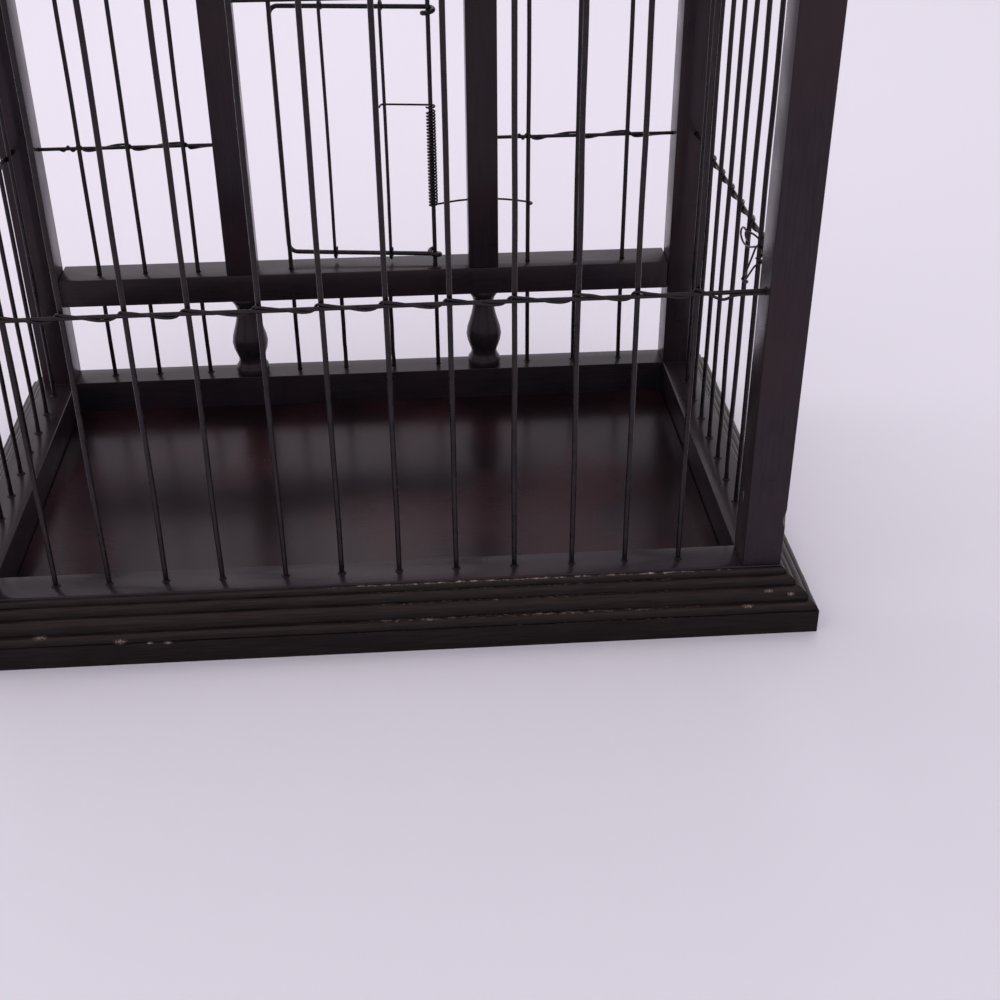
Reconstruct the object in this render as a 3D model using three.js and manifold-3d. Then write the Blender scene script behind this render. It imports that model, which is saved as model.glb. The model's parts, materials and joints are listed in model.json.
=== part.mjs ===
// A small wood and wire bird cage. A frame of dark stained timber stands on a mitred, reeded
// base moulding. Straight wires stand in drilled holes on all four sides and across the roof.
// The far side holds a sprung wire door over a sill rail with two turned spindles.
//
// Units are millimetres. +X runs along the plain long side, +Y points to the door side and
// +Z is up. The origin is the middle of the base, on the surface that the cage stands on.

import * as THREE from 'three';
import { mergeVertices } from 'three/addons/utils/BufferGeometryUtils.js';
import Module from 'manifold-3d';

const wasm = await Module();
wasm.setup();

// ---------------------------------------------------------------- driving dimensions

// timber frame
const frameLength = 240; // over the posts, along X
const frameDepth = 148; // over the posts, along Y
const postWidth = 11.5; // the square posts, and the depth of the rails
const bottomRailHeight = 17.5;
const topRailHeight = 11.5;
const wallHeight = 170; // clear height between the bottom and the top rails

// base moulding and floor
const mouldingProjection = 10;
const mouldingDrop = 0.5; // top of the moulding below the top of the rail
const plinthHeight = 7.3; // plain upright face under the reeds
const reedShares = [0.215, 0.35, 0.25, 0.185]; // each reed's share of the slope, from the plinth up
const reedFlat = 0.18; // flat fillet beside each reed, as a share of the reed
const mitreGap = 0.15; // each mitred end is held back by this
const floorThickness = 4;
const floorHeight = 6; // top of the floor board
const floorGap = 0.3;

// door side
const slimTimber = 10.5; // width and depth of the stiles
const leftStileShift = -2.5; // the left stile and its spindle were set out this much off
const sillTop = 57.25;
const sillHeight = 10;
const sillDepth = 16.5; // from the stiles' inner faces out to the nosing
const nosingRadius = 3; // the sill's rounded outer edges
const roofBarWidth = 10;

// turned spindles
const spindleFoot = 6; // radii, from the foot up
const spindleWaist = 4.6;
const spindleBelly = 6.45;
const spindleNeck = 3.6;
const spindleCap = 5.1;
const tenonRadius = 2.4;
const tenonLength = 3.7;

// wires
const wireRadius = 0.75;
const crossWireRadius = 0.6;
const tieWireRadius = 0.4;
const holeDepth = 4;
const clearance = 0.3; // between a wire and its hole, and between wires that only touch
const weldDepth = 0.15; // how far a crossing wire sinks into the wires it is fast to
const plainWireDrift = [1.5, 0, -0.5, -1, 0.5, 0, 0, 0, 0.3, 0.5, -0.5, -1.3]; // hand-drilled holes
const doorSideDrift = [-3, -3.5, -1.5, 0, -2, -1.5, -0.5, -0.5, 0, -0.5, 0, 0.5];
const sideWireCount = 8;
const leftWireShift = 4.5; // the left row was drilled from the plain end, the right one
const rightWireShift = -3.5; // from the door end
const sideTieRise = 1.5; // the end walls' cross wires lie this much above the long sides'
const plainTieFall = 1.4; // the plain side's cross wire falls this much to the left
const roofTieShare = 0.5; // place of each roof cross wire between the bar and the long rail

// sprung door
const doorWireRadius = 0.8;
const doorBarRadius = 0.6;
const doorOverlap = 1.5; // free edge past the jamb wire that it shuts against
const doorClear = 2.4; // between the door and the sill, and between the door and its head wire
const doorHeight = 86;
const doorCorner = 3.2;
const doorBarShares = [0.32, 0.7]; // places of the door's bars, from its free edge
const doorAjar = 7; // degrees that the tired spring leaves it open
const doorBarTail = 1.4; // end of each bar's hook
const rolledTurn = 340; // degrees of each rolled eye
const eyeRise = 2.1; // height gained by each rolled eye

// door spring
const springWireRadius = 0.35;
const springGap = 0.42; // between neighbouring curls
const springCurls = 30;
const springStart = 21.75; // above the sill
const springArmReach = 2.2; // hook past the door bar
const springLegBend = 1.5; // where the fixed leg bends, past the stile's edges

// hanging ring
const ringRadius = 12;
const ringWireRadius = 1.2;
const eyeRadius = 3.2;
const eyeWireRadius = 0.9;
const eyeStandoff = 0.6;
const eyeShank = 7;
const eyeOpening = -65; // degrees at which the screw eye's loop starts
const eyeTurn = 290; // degrees of the loop

// ---------------------------------------------------------------- derived places

const halfLength = frameLength / 2;
const halfDepth = frameDepth / 2;
const innerHalfLength = halfLength - postWidth;
const innerHalfDepth = halfDepth - postWidth;
const wallX = halfLength - postWidth / 2; // plane of the end walls' wires
const wallY = halfDepth - postWidth / 2; // plane of the long walls' wires
const topRailBottom = bottomRailHeight + wallHeight;
const topRailTop = topRailBottom + topRailHeight;
const roofHeight = topRailBottom + topRailHeight / 2;
const holeRadius = wireRadius + clearance;
const crossHoleRadius = crossWireRadius + clearance;

const longCount = plainWireDrift.length;
const longPitch = (2 * innerHalfLength) / (longCount + 1);
const longPlaces = plainWireDrift.map((_, index) => (index + 1) * longPitch - innerHalfLength);
const plainPlaces = longPlaces.map((place, index) => place + plainWireDrift[index]);
const doorSidePlaces = longPlaces.map((place, index) => place + doorSideDrift[index]);
const sidePitch = (2 * innerHalfDepth) / (sideWireCount + 1);
const sideRanks = Array.from({ length: sideWireCount }, (_, index) => index + 1);
const sidePlaces = sideRanks.map((rank) => rank * sidePitch - innerHalfDepth);
const leftPlaces = sidePlaces.map((place) => place + leftWireShift);
const rightPlaces = sidePlaces.map((place) => place + rightWireShift);

// the stiles and spindles take the places of the fourth wires from each end
const stileRank = 3;
const stilePlaces = [longPlaces[stileRank] + leftStileShift, longPlaces[longCount - 1 - stileRank]];
const leftBayPlaces = doorSidePlaces.slice(0, stileRank);
const rightBayPlaces = doorSidePlaces.slice(longCount - stileRank);
const [latchPlace, ...underSillPlaces] = doorSidePlaces.slice(stileRank + 1, longCount - stileRank - 2);
const hingePlace = doorSidePlaces[longCount - 2 - stileRank];
const overDoorPlaces = underSillPlaces;

const tieHeight = bottomRailHeight + wallHeight / 2;
const plainTieSlope = plainTieFall / (2 * innerHalfLength);
const plainTieHeight = (x) => tieHeight + (x - innerHalfLength) * plainTieSlope;
const looseOffset = wireRadius + crossWireRadius + clearance; // crossing wires that only touch
const fastOffset = wireRadius + crossWireRadius - weldDepth; // crossing wires that are fast
const overDoorSetback = looseOffset - fastOffset;
const roofTieY = roofBarWidth / 2 + (innerHalfDepth - roofBarWidth / 2) * roofTieShare;

const doorBottom = sillTop + doorClear + doorWireRadius;
const doorTop = doorBottom + doorHeight;
const headHeight = doorTop + doorClear + doorWireRadius + crossWireRadius;
const hingeLoop = wireRadius + clearance + doorWireRadius; // centre line radius of the rolled eyes
const springLoop = wireRadius + clearance + springWireRadius;

// ---------------------------------------------------------------- materials

const stainedWood = { color: 0x2c2528, roughness: 0.5, metalness: 0 };
const floorWood = { color: 0x3a2c30, roughness: 0.55, metalness: 0 };
const darkWire = { color: 0x2b2630, roughness: 0.45, metalness: 0.6 };

// ---------------------------------------------------------------- solids

/** A closed mesh as a solid that can be joined and cut. */
function toSolid(geometry) {
  const bare = geometry.clone();
  bare.deleteAttribute('normal');
  bare.deleteAttribute('uv');
  const merged = mergeVertices(bare, 1e-4);
  return new wasm.Manifold(
    new wasm.Mesh({
      numProp: 3,
      vertProperties: new Float32Array(merged.attributes.position.array),
      triVerts: new Uint32Array(merged.index.array),
    }),
  );
}

/** A solid back as a geometry with flat faces. */
function toGeometry(solid) {
  const mesh = solid.getMesh();
  const geometry = new THREE.BufferGeometry();
  geometry.setAttribute('position', new THREE.BufferAttribute(new Float32Array(mesh.vertProperties), 3));
  geometry.setIndex(new THREE.BufferAttribute(new Uint32Array(mesh.triVerts), 1));
  geometry.computeVertexNormals();
  return geometry;
}

/** The blank with every cutter taken away. */
function cut(blank, cutters) {
  return toGeometry(cutters.reduce((solid, cutter) => solid.subtract(toSolid(cutter)), toSolid(blank)));
}

/** Several closed meshes joined to one body. */
function join(pieces) {
  const [first, ...rest] = pieces.map(toSolid);
  return toGeometry(rest.reduce((solid, piece) => solid.add(piece), first));
}

const vec = (x, y, z) => new THREE.Vector3(x, y, z);
const alongX = vec(1, 0, 0);
const alongY = vec(0, 1, 0);
const up = vec(0, 0, 1);

/** A square-edged block between two opposite corners. */
function block(corner, opposite) {
  const low = corner.clone().min(opposite);
  const high = corner.clone().max(opposite);
  const size = high.clone().sub(low);
  const centre = low.clone().add(high).multiplyScalar(0.5);
  return new THREE.BoxGeometry(size.x, size.y, size.z).translate(centre.x, centre.y, centre.z);
}

/** A straight round rod from one point to another. */
function rod(from, to, radius, sides = 8) {
  const line = to.clone().sub(from);
  const middle = from.clone().add(to).multiplyScalar(0.5);
  const turn = new THREE.Quaternion().setFromUnitVectors(alongY, line.clone().normalize());
  return new THREE.CylinderGeometry(radius, radius, line.length(), sides)
    .rotateY(Math.PI / sides)
    .applyQuaternion(turn)
    .translate(middle.x, middle.y, middle.z);
}

/** A drill that enters at the mouth, against the face's outward direction. */
function drill(mouth, outward, depth, radius = holeRadius) {
  const start = mouth.clone().addScaledVector(outward, 0.5);
  return rod(start, mouth.clone().addScaledVector(outward, -depth), radius);
}

/** A path that passes through its points, one step from each to the next. */
class PointPath extends THREE.Curve {
  constructor(points) {
    super();
    this.points = points;
  }

  getPoint(share, target = new THREE.Vector3()) {
    const place = share * (this.points.length - 1);
    const index = Math.min(Math.floor(place), this.points.length - 2);
    return target.lerpVectors(this.points[index], this.points[index + 1], place - index);
  }

  getPointAt(share, target) {
    return this.getPoint(share, target);
  }

  getTangentAt(share, target = new THREE.Vector3()) {
    const reach = 0.5 / (this.points.length - 1);
    const ahead = this.getPoint(Math.min(share + reach, 1));
    const behind = this.getPoint(Math.max(share - reach, 0));
    return target.subVectors(ahead, behind).normalize();
  }
}

/** A bent wire: one unbroken tube through its points. */
function bentWire(points, radius, sides) {
  const section = new THREE.Shape();
  for (let side = 0; side < sides; side += 1) {
    const angle = (2 * Math.PI * side) / sides;
    const place = [radius * Math.cos(angle), radius * Math.sin(angle)];
    if (side === 0) section.moveTo(...place);
    else section.lineTo(...place);
  }
  section.closePath();
  return new THREE.ExtrudeGeometry(section, {
    steps: points.length - 1,
    extrudePath: new PointPath(points),
    bevelEnabled: false,
  });
}

/** Points on an arc about an upright axis; angles in degrees, with a steady climb. */
function turnPoints(centre, radius, fromAngle, toAngle, climb, steps) {
  return Array.from({ length: steps + 1 }, (_, step) => {
    const share = step / steps;
    const angle = THREE.MathUtils.degToRad(fromAngle + (toAngle - fromAngle) * share);
    return vec(
      centre.x + radius * Math.cos(angle),
      centre.y + radius * Math.sin(angle),
      centre.z + climb * share,
    );
  });
}

/** The least gap that a wound wire leaves to its own neighbouring turns. */
function leastOwnGap(points, radius, turnLength) {
  let least = Infinity;
  const lengths = [0];
  points.slice(1).forEach((point, index) => lengths.push(lengths[index] + point.distanceTo(points[index])));
  for (let first = 0; first < points.length; first += 1) {
    for (let second = first + 1; second < points.length; second += 1) {
      if (lengths[second] - lengths[first] < turnLength / 2) continue;
      least = Math.min(least, points[first].distanceTo(points[second]) - 2 * radius);
    }
  }
  return least;
}

// ---------------------------------------------------------------- assembly

const cage = new THREE.Group();

function addPart(name, geometry, finish, parent = cage) {
  const mesh = new THREE.Mesh(geometry, new THREE.MeshStandardMaterial(finish));
  mesh.name = name;
  parent.add(mesh);
  return mesh;
}

// ---------------------------------------------------------------- base moulding and floor

/** Section of the moulding: a plain plinth, then reeds that step up and in to the rail. */
function mouldingSection() {
  const section = new THREE.Shape();
  const slopeHeight = bottomRailHeight - mouldingDrop - plinthHeight;
  let out = mouldingProjection;
  let height = plinthHeight;
  section.moveTo(0, 0);
  section.lineTo(out, 0);
  section.lineTo(out, height);
  for (const share of reedShares) {
    const width = mouldingProjection * share;
    const rise = slopeHeight * share;
    out -= width;
    section.lineTo(out + width * (1 - reedFlat), height);
    section.absellipse(out, height, width * (1 - reedFlat), rise, 0, Math.PI / 2);
    height += rise;
  }
  section.lineTo(0, height);
  section.closePath();
  return section;
}

/** One length of moulding, mitred at both ends, on the rail whose outer face it meets. */
function mouldingLength(outward, faceDistance, faceLength) {
  const strip = new THREE.ExtrudeGeometry(mouldingSection(), {
    depth: 1,
    bevelEnabled: false,
    curveSegments: 4,
  });
  const position = strip.attributes.position;
  for (let index = 0; index < position.count; index += 1) {
    const reach = faceLength / 2 + position.getX(index) - mitreGap;
    position.setZ(index, position.getZ(index) > 0.5 ? reach : -reach);
  }
  const basis = new THREE.Matrix4().makeBasis(outward, up, outward.clone().cross(up));
  strip.applyMatrix4(basis);
  return strip.translate(outward.x * faceDistance, outward.y * faceDistance, 0);
}

addPart('base_moulding_plain_side', mouldingLength(vec(0, -1, 0), halfDepth, frameLength), stainedWood);
addPart('base_moulding_door_side', mouldingLength(vec(0, 1, 0), halfDepth, frameLength), stainedWood);
addPart('base_moulding_left', mouldingLength(vec(-1, 0, 0), halfLength, frameDepth), stainedWood);
addPart('base_moulding_right', mouldingLength(vec(1, 0, 0), halfLength, frameDepth), stainedWood);

addPart(
  'floor_board',
  block(
    vec(-innerHalfLength + floorGap, -innerHalfDepth + floorGap, floorHeight - floorThickness),
    vec(innerHalfLength - floorGap, innerHalfDepth - floorGap, floorHeight),
  ),
  floorWood,
);

// ---------------------------------------------------------------- rails and posts

/** Long rail blank on one side: side is -1 on the plain side and 1 on the door side. */
function longRail(side, low, high) {
  return block(vec(-halfLength, side * halfDepth, low), vec(halfLength, side * innerHalfDepth, high));
}

/** End rail blank, between the long rails: side is -1 at the left and 1 at the right. */
function endRail(side, low, high) {
  return block(
    vec(side * halfLength, -innerHalfDepth, low),
    vec(side * innerHalfLength, innerHalfDepth, high),
  );
}

const down = vec(0, 0, -1);
const holesUp = (places, at) => places.map((place) => drill(at(place, bottomRailHeight), up, holeDepth));
const holesDown = (places, at) => places.map((place) => drill(at(place, topRailBottom), down, holeDepth));
const onPlainSide = (place, height) => vec(place, -wallY, height);
const onDoorSide = (place, height) => vec(place, wallY, height);
const onLeft = (place, height) => vec(-wallX, place, height);
const onRight = (place, height) => vec(wallX, place, height);

const tenonHole = tenonRadius + clearance;
const spindleHoles = (height, outward) =>
  stilePlaces.map((place) => drill(vec(place, wallY, height), outward, holeDepth, tenonHole));
const standingOnDoorSide = [...leftBayPlaces, latchPlace, ...underSillPlaces, hingePlace, ...rightBayPlaces];
const reachingTopOnDoorSide = [...leftBayPlaces, latchPlace, hingePlace, ...rightBayPlaces];

addPart(
  'bottom_rail_plain_side',
  cut(longRail(-1, 0, bottomRailHeight), holesUp(plainPlaces, onPlainSide)),
  stainedWood,
);
addPart(
  'bottom_rail_door_side',
  cut(longRail(1, 0, bottomRailHeight), [
    ...holesUp(standingOnDoorSide, onDoorSide),
    ...spindleHoles(bottomRailHeight, up),
  ]),
  stainedWood,
);
addPart(
  'bottom_rail_left',
  cut(endRail(-1, 0, bottomRailHeight), holesUp(leftPlaces, onLeft)),
  stainedWood,
);
addPart(
  'bottom_rail_right',
  cut(endRail(1, 0, bottomRailHeight), holesUp(rightPlaces, onRight)),
  stainedWood,
);

const roofHoles = (side) =>
  plainPlaces.map((place) =>
    drill(vec(place, side * innerHalfDepth, roofHeight), vec(0, -side, 0), holeDepth),
  );
const roofTieHeight = roofHeight - fastOffset; // under the roof wires
const roofTieHoles = (side) =>
  [-roofTieY, roofTieY].map((y) =>
    drill(vec(side * innerHalfLength, y, roofTieHeight), vec(-side, 0, 0), holeDepth, crossHoleRadius),
  );
const overDoorY = wallY - overDoorSetback;

addPart(
  'top_rail_plain_side',
  cut(longRail(-1, topRailBottom, topRailTop), [...holesDown(plainPlaces, onPlainSide), ...roofHoles(-1)]),
  stainedWood,
);
addPart(
  'top_rail_door_side',
  cut(longRail(1, topRailBottom, topRailTop), [
    ...holesDown(reachingTopOnDoorSide, onDoorSide),
    ...holesDown(overDoorPlaces, (place, height) => vec(place, overDoorY, height)),
    ...roofHoles(1),
  ]),
  stainedWood,
);
addPart(
  'top_rail_left',
  cut(endRail(-1, topRailBottom, topRailTop), [...holesDown(leftPlaces, onLeft), ...roofTieHoles(-1)]),
  stainedWood,
);
addPart(
  'top_rail_right',
  cut(endRail(1, topRailBottom, topRailTop), [...holesDown(rightPlaces, onRight), ...roofTieHoles(1)]),
  stainedWood,
);

const plainTieY = -wallY - looseOffset;
const doorSideTieY = wallY + fastOffset;
const endTieX = wallX + fastOffset;
const sideTieHeight = tieHeight + sideTieRise;

/** A corner post with the holes for the two cross wires that end in it. */
function cornerPost(sideX, sideY) {
  const innerX = sideX * innerHalfLength;
  const innerY = sideY * innerHalfDepth;
  const blank = block(
    vec(sideX * halfLength, sideY * halfDepth, bottomRailHeight),
    vec(innerX, innerY, topRailBottom),
  );
  const plainTie = vec(innerX, plainTieY, plainTieHeight(innerX));
  const longTie = sideY < 0 ? plainTie : vec(innerX, doorSideTieY, tieHeight);
  const endTie = vec(sideX * endTieX, innerY, sideTieHeight);
  return cut(blank, [
    drill(longTie, vec(-sideX, 0, 0), holeDepth, crossHoleRadius),
    drill(endTie, vec(0, -sideY, 0), holeDepth, crossHoleRadius),
  ]);
}

addPart('corner_post_plain_left', cornerPost(-1, -1), stainedWood);
addPart('corner_post_plain_right', cornerPost(1, -1), stainedWood);
addPart('corner_post_door_left', cornerPost(-1, 1), stainedWood);
addPart('corner_post_door_right', cornerPost(1, 1), stainedWood);

// ---------------------------------------------------------------- sill rail, stiles, spindles, roof bar

const sillBottom = sillTop - sillHeight;
const slimHalf = slimTimber / 2;
const throughSill = (place) =>
  rod(vec(place, wallY, sillBottom - 1), vec(place, wallY, sillTop + 1), holeRadius);

/** The sill rail's blank: square towards the room, rounded along its outer edges. */
function sillBlank() {
  const inner = wallY - slimHalf;
  const outer = inner + sillDepth;
  const nose = outer - nosingRadius;
  const section = new THREE.Shape();
  section.moveTo(inner, sillBottom);
  section.lineTo(nose, sillBottom);
  section.absarc(nose, sillBottom + nosingRadius, nosingRadius, -Math.PI / 2, 0);
  section.lineTo(outer, sillTop - nosingRadius);
  section.absarc(nose, sillTop - nosingRadius, nosingRadius, 0, Math.PI / 2);
  section.lineTo(inner, sillTop);
  section.closePath();
  const strip = new THREE.ExtrudeGeometry(section, {
    depth: 2 * innerHalfLength,
    bevelEnabled: false,
    curveSegments: 4,
  });
  const basis = new THREE.Matrix4().makeBasis(alongY, up, alongX);
  return strip.applyMatrix4(basis).translate(-innerHalfLength, 0, 0);
}

addPart(
  'door_sill_rail',
  cut(sillBlank(), [
    ...reachingTopOnDoorSide.map(throughSill),
    ...underSillPlaces.map((place) => drill(vec(place, wallY, sillBottom), down, holeDepth)),
    ...spindleHoles(sillBottom, down),
  ]),
  stainedWood,
);

/** A door stile; bay is the side on which the bay's cross wire ends in it. */
function doorStile(place, bay) {
  const blank = block(
    vec(place - slimHalf, wallY - slimHalf, sillTop),
    vec(place + slimHalf, wallY + slimHalf, topRailBottom),
  );
  const bayTie = vec(place + bay * slimHalf, doorSideTieY, tieHeight);
  const headEnd = vec(place - bay * slimHalf, wallY - looseOffset, headHeight);
  return cut(blank, [
    drill(bayTie, vec(bay, 0, 0), holeDepth, crossHoleRadius),
    drill(headEnd, vec(-bay, 0, 0), holeDepth, crossHoleRadius),
  ]);
}

addPart('door_stile_left', doorStile(stilePlaces[0], -1), stainedWood);
addPart('door_stile_right', doorStile(stilePlaces[1], 1), stainedWood);

/** A turned vase spindle with a tenon at each end. */
function spindle(place) {
  const foot = bottomRailHeight;
  const head = sillBottom;
  const height = (share) => foot + (head - foot) * share;
  const lower = new THREE.SplineCurve([
    new THREE.Vector2(spindleWaist, height(0.19)),
    new THREE.Vector2(spindleBelly, height(0.41)),
    new THREE.Vector2(spindleNeck * 1.25, height(0.67)),
    new THREE.Vector2(spindleNeck, height(0.84)),
  ]);
  const outline = [
    new THREE.Vector2(0, foot - tenonLength),
    new THREE.Vector2(tenonRadius, foot - tenonLength),
    new THREE.Vector2(tenonRadius, foot),
    new THREE.Vector2(spindleFoot * 0.94, foot),
    new THREE.Vector2(spindleFoot, height(0.04)),
    new THREE.Vector2(spindleFoot * 0.97, height(0.09)),
    new THREE.Vector2(spindleWaist * 1.08, height(0.13)),
    ...lower.getPoints(9),
    new THREE.Vector2(spindleCap * 0.86, height(0.92)),
    new THREE.Vector2(spindleCap, height(0.95)),
    new THREE.Vector2(spindleCap, head),
    new THREE.Vector2(tenonRadius, head),
    new THREE.Vector2(tenonRadius, head + tenonLength),
    new THREE.Vector2(0, head + tenonLength),
  ];
  return new THREE.LatheGeometry(outline, 20).rotateX(Math.PI / 2).translate(place, wallY, 0);
}

addPart('sill_spindle_left', spindle(stilePlaces[0]), stainedWood);
addPart('sill_spindle_right', spindle(stilePlaces[1]), stainedWood);

const barHalf = roofBarWidth / 2;
const eyeHole = drill(vec(0, 0, topRailTop), up, eyeShank + clearance, eyeWireRadius + clearance);
const throughBar = (place) =>
  rod(vec(place, -barHalf - 1, roofHeight), vec(place, barHalf + 1, roofHeight), holeRadius);
addPart(
  'roof_bar',
  cut(
    block(vec(-innerHalfLength, -barHalf, topRailBottom), vec(innerHalfLength, barHalf, topRailTop)),
    [...plainPlaces.map(throughBar), eyeHole],
  ),
  stainedWood,
);

// ---------------------------------------------------------------- standing wires

const wireFoot = bottomRailHeight - holeDepth + clearance;
const wireHead = topRailBottom + holeDepth - clearance;
const standing = (at, place, foot = wireFoot, head = wireHead) =>
  rod(at(place, foot), at(place, head), wireRadius);

plainPlaces.forEach((place, index) => {
  addPart(`plain_wire_${String(index + 1).padStart(2, '0')}`, standing(onPlainSide, place), darkWire);
});

const crossReach = holeDepth - clearance;
const plainTiePoint = (x) => vec(x, plainTieY, plainTieHeight(x));
addPart(
  'cross_wire_plain_side',
  rod(
    plainTiePoint(-innerHalfLength - crossReach),
    plainTiePoint(innerHalfLength + crossReach),
    crossWireRadius,
  ),
  darkWire,
);

/** An end wall's wires, fast to the cross wire that holds them at mid height. */
function endGrille(side, places, at) {
  const crossWire = rod(
    vec(side * endTieX, -innerHalfDepth - crossReach, sideTieHeight),
    vec(side * endTieX, innerHalfDepth + crossReach, sideTieHeight),
    crossWireRadius,
  );
  return join([crossWire, ...places.map((place) => standing(at, place))]);
}

addPart('end_grille_left', endGrille(-1, leftPlaces, onLeft), darkWire);
addPart('end_grille_right', endGrille(1, rightPlaces, onRight), darkWire);

/** A side bay of the door wall: its wires pass through the sill rail. */
function bayGrille(places, fromX, toX) {
  const crossWire = rod(
    vec(fromX, doorSideTieY, tieHeight),
    vec(toX, doorSideTieY, tieHeight),
    crossWireRadius,
  );
  return join([crossWire, ...places.map((place) => standing(onDoorSide, place))]);
}

addPart(
  'bay_grille_left',
  bayGrille(leftBayPlaces, -innerHalfLength - crossReach, stilePlaces[0] - slimHalf + crossReach),
  darkWire,
);
addPart(
  'bay_grille_right',
  bayGrille(rightBayPlaces, stilePlaces[1] + slimHalf - crossReach, innerHalfLength + crossReach),
  darkWire,
);

const underSillHead = sillBottom + holeDepth - clearance;
addPart('under_sill_wire_left', standing(onDoorSide, underSillPlaces[0], wireFoot, underSillHead), darkWire);
addPart('under_sill_wire_right', standing(onDoorSide, underSillPlaces[1], wireFoot, underSillHead), darkWire);
addPart('latch_wire', standing(onDoorSide, latchPlace), darkWire);
addPart('hinge_wire', standing(onDoorSide, hingePlace), darkWire);

const headWire = rod(
  vec(stilePlaces[0] + slimHalf - crossReach, wallY - looseOffset, headHeight),
  vec(stilePlaces[1] - slimHalf + crossReach, wallY - looseOffset, headHeight),
  crossWireRadius,
);
const overDoorWires = overDoorPlaces.map((place) =>
  rod(vec(place, overDoorY, headHeight - crossWireRadius), vec(place, overDoorY, wireHead), wireRadius),
);
addPart('door_head_grille', join([headWire, ...overDoorWires]), darkWire);

const roofReach = innerHalfDepth + crossReach;
const roofWires = plainPlaces.map((place) =>
  rod(vec(place, -roofReach, roofHeight), vec(place, roofReach, roofHeight), wireRadius),
);
const roofTies = [-roofTieY, roofTieY].map((y) =>
  rod(
    vec(-innerHalfLength - crossReach, y, roofTieHeight),
    vec(innerHalfLength + crossReach, y, roofTieHeight),
    crossWireRadius,
  ),
);
addPart('roof_grille', join([...roofTies, ...roofWires]), darkWire);

// ---------------------------------------------------------------- binding wires

// One turn of the binding wire for each standing wire: the share of the pitch past the wire,
// and the turn in degrees from the top of the cross wire over its outer side.
const bindingTurn = [
  [-0.14, -90],
  [-0.1, -45],
  [-0.06, 0],
  [0.02, 45],
  [0.21, 90],
  [0.38, 135],
  [0.55, 180],
  [0.72, 225],
];
const bindingRadius = crossWireRadius + tieWireRadius + clearance;

/** The binding wire of one wall: origin and along give the cross wire, outward its outer side. */
function bindingPoints(origin, along, outward, places) {
  const points = [];
  const pointAt = (place, degrees) => {
    const angle = THREE.MathUtils.degToRad(degrees);
    return origin
      .clone()
      .addScaledVector(along, place)
      .addScaledVector(up, bindingRadius * Math.cos(angle))
      .addScaledVector(outward, bindingRadius * Math.sin(angle));
  };
  places.forEach((place, index) => {
    const next = index + 1 < places.length ? places[index + 1] : place + (place - places[index - 1]);
    const steps = index + 1 < places.length ? bindingTurn : bindingTurn.slice(0, 5);
    steps.forEach(([share, degrees]) => points.push(pointAt(place + (next - place) * share, degrees)));
  });
  return points;
}

function addBinding(name, origin, along, outward, places) {
  const points = bindingPoints(origin, along, outward, places);
  const gap = leastOwnGap(points, tieWireRadius, 2 * Math.PI * bindingRadius);
  console.log(`${name}: least gap to itself ${gap.toFixed(2)} mm`);
  addPart(name, bentWire(points, tieWireRadius, 5), darkWire);
}

const towardsPlain = vec(0, -1, 0);
const towardsLeft = vec(-1, 0, 0);
const doorSideTie = vec(0, doorSideTieY, tieHeight);
const downTheList = (places) => [...places].reverse().map((place) => -place);
addBinding('binding_plain_side', plainTiePoint(0), vec(1, 0, plainTieSlope), towardsPlain, plainPlaces);
const rightTie = vec(endTieX, 0, sideTieHeight);
const leftTie = vec(-endTieX, 0, sideTieHeight);
addBinding('binding_right', rightTie, alongY, alongX, rightPlaces);
addBinding('binding_left', leftTie, towardsPlain, towardsLeft, downTheList(leftPlaces));
addBinding('binding_bay_left', doorSideTie, towardsLeft, alongY, downTheList(leftBayPlaces));
addBinding('binding_bay_right', doorSideTie, towardsLeft, alongY, downTheList(rightBayPlaces));

// ---------------------------------------------------------------- sprung door

// The door is drawn shut, about its hinge wire, and its group then stands it ajar.
const hingeAxis = vec(hingePlace, wallY, 0);
const door = new THREE.Group();
door.position.copy(hingeAxis);
door.rotation.z = -THREE.MathUtils.degToRad(doorAjar);
cage.add(door);

const freeEdge = latchPlace - doorOverlap - hingePlace;
const bendSteps = 4;

/** Corner of the door frame in its upright plane; quarter runs from 0 to 1. */
function frameCorner(x, z, turnX, turnZ, quarter) {
  const angle = (quarter * Math.PI) / 2;
  return vec(x + turnX * doorCorner * Math.sin(angle), hingeLoop, z + turnZ * doorCorner * Math.cos(angle));
}

/** One wire bent to a U: its ends are rolled to eyes that turn on the hinge wire. */
function doorFramePoints() {
  const quarters = Array.from({ length: bendSteps + 1 }, (_, step) => step / bendSteps);
  const low = quarters.map((quarter) =>
    frameCorner(freeEdge + doorCorner, doorBottom + doorCorner, -1, -1, quarter),
  );
  const high = quarters.map((quarter) =>
    frameCorner(freeEdge + doorCorner, doorTop - doorCorner, -1, 1, 1 - quarter),
  );
  return [
    ...turnPoints(vec(0, 0, doorBottom + eyeRise), hingeLoop, 90 - rolledTurn, 90, -eyeRise, 12),
    ...low,
    ...high,
    ...turnPoints(vec(0, 0, doorTop), hingeLoop, 90, 90 - rolledTurn, -eyeRise, 12),
  ];
}

addPart('door_frame', bentWire(doorFramePoints(), doorWireRadius, 8), darkWire, door);

const hookRadius = doorWireRadius + clearance + doorBarRadius;

/** A door bar hooked round the frame's bottom and top wires. */
function doorBarPoints(x) {
  const hook = (height, side) =>
    Array.from({ length: 7 }, (_, step) => {
      const angle = (Math.PI * step) / 6;
      return vec(x, hingeLoop + hookRadius * Math.cos(angle), height + side * hookRadius * Math.sin(angle));
    });
  return [
    vec(x, hingeLoop + hookRadius, doorBottom + doorBarTail),
    ...hook(doorBottom, -1),
    ...hook(doorTop, 1).reverse(),
    vec(x, hingeLoop + hookRadius, doorTop - doorBarTail),
  ];
}

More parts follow.
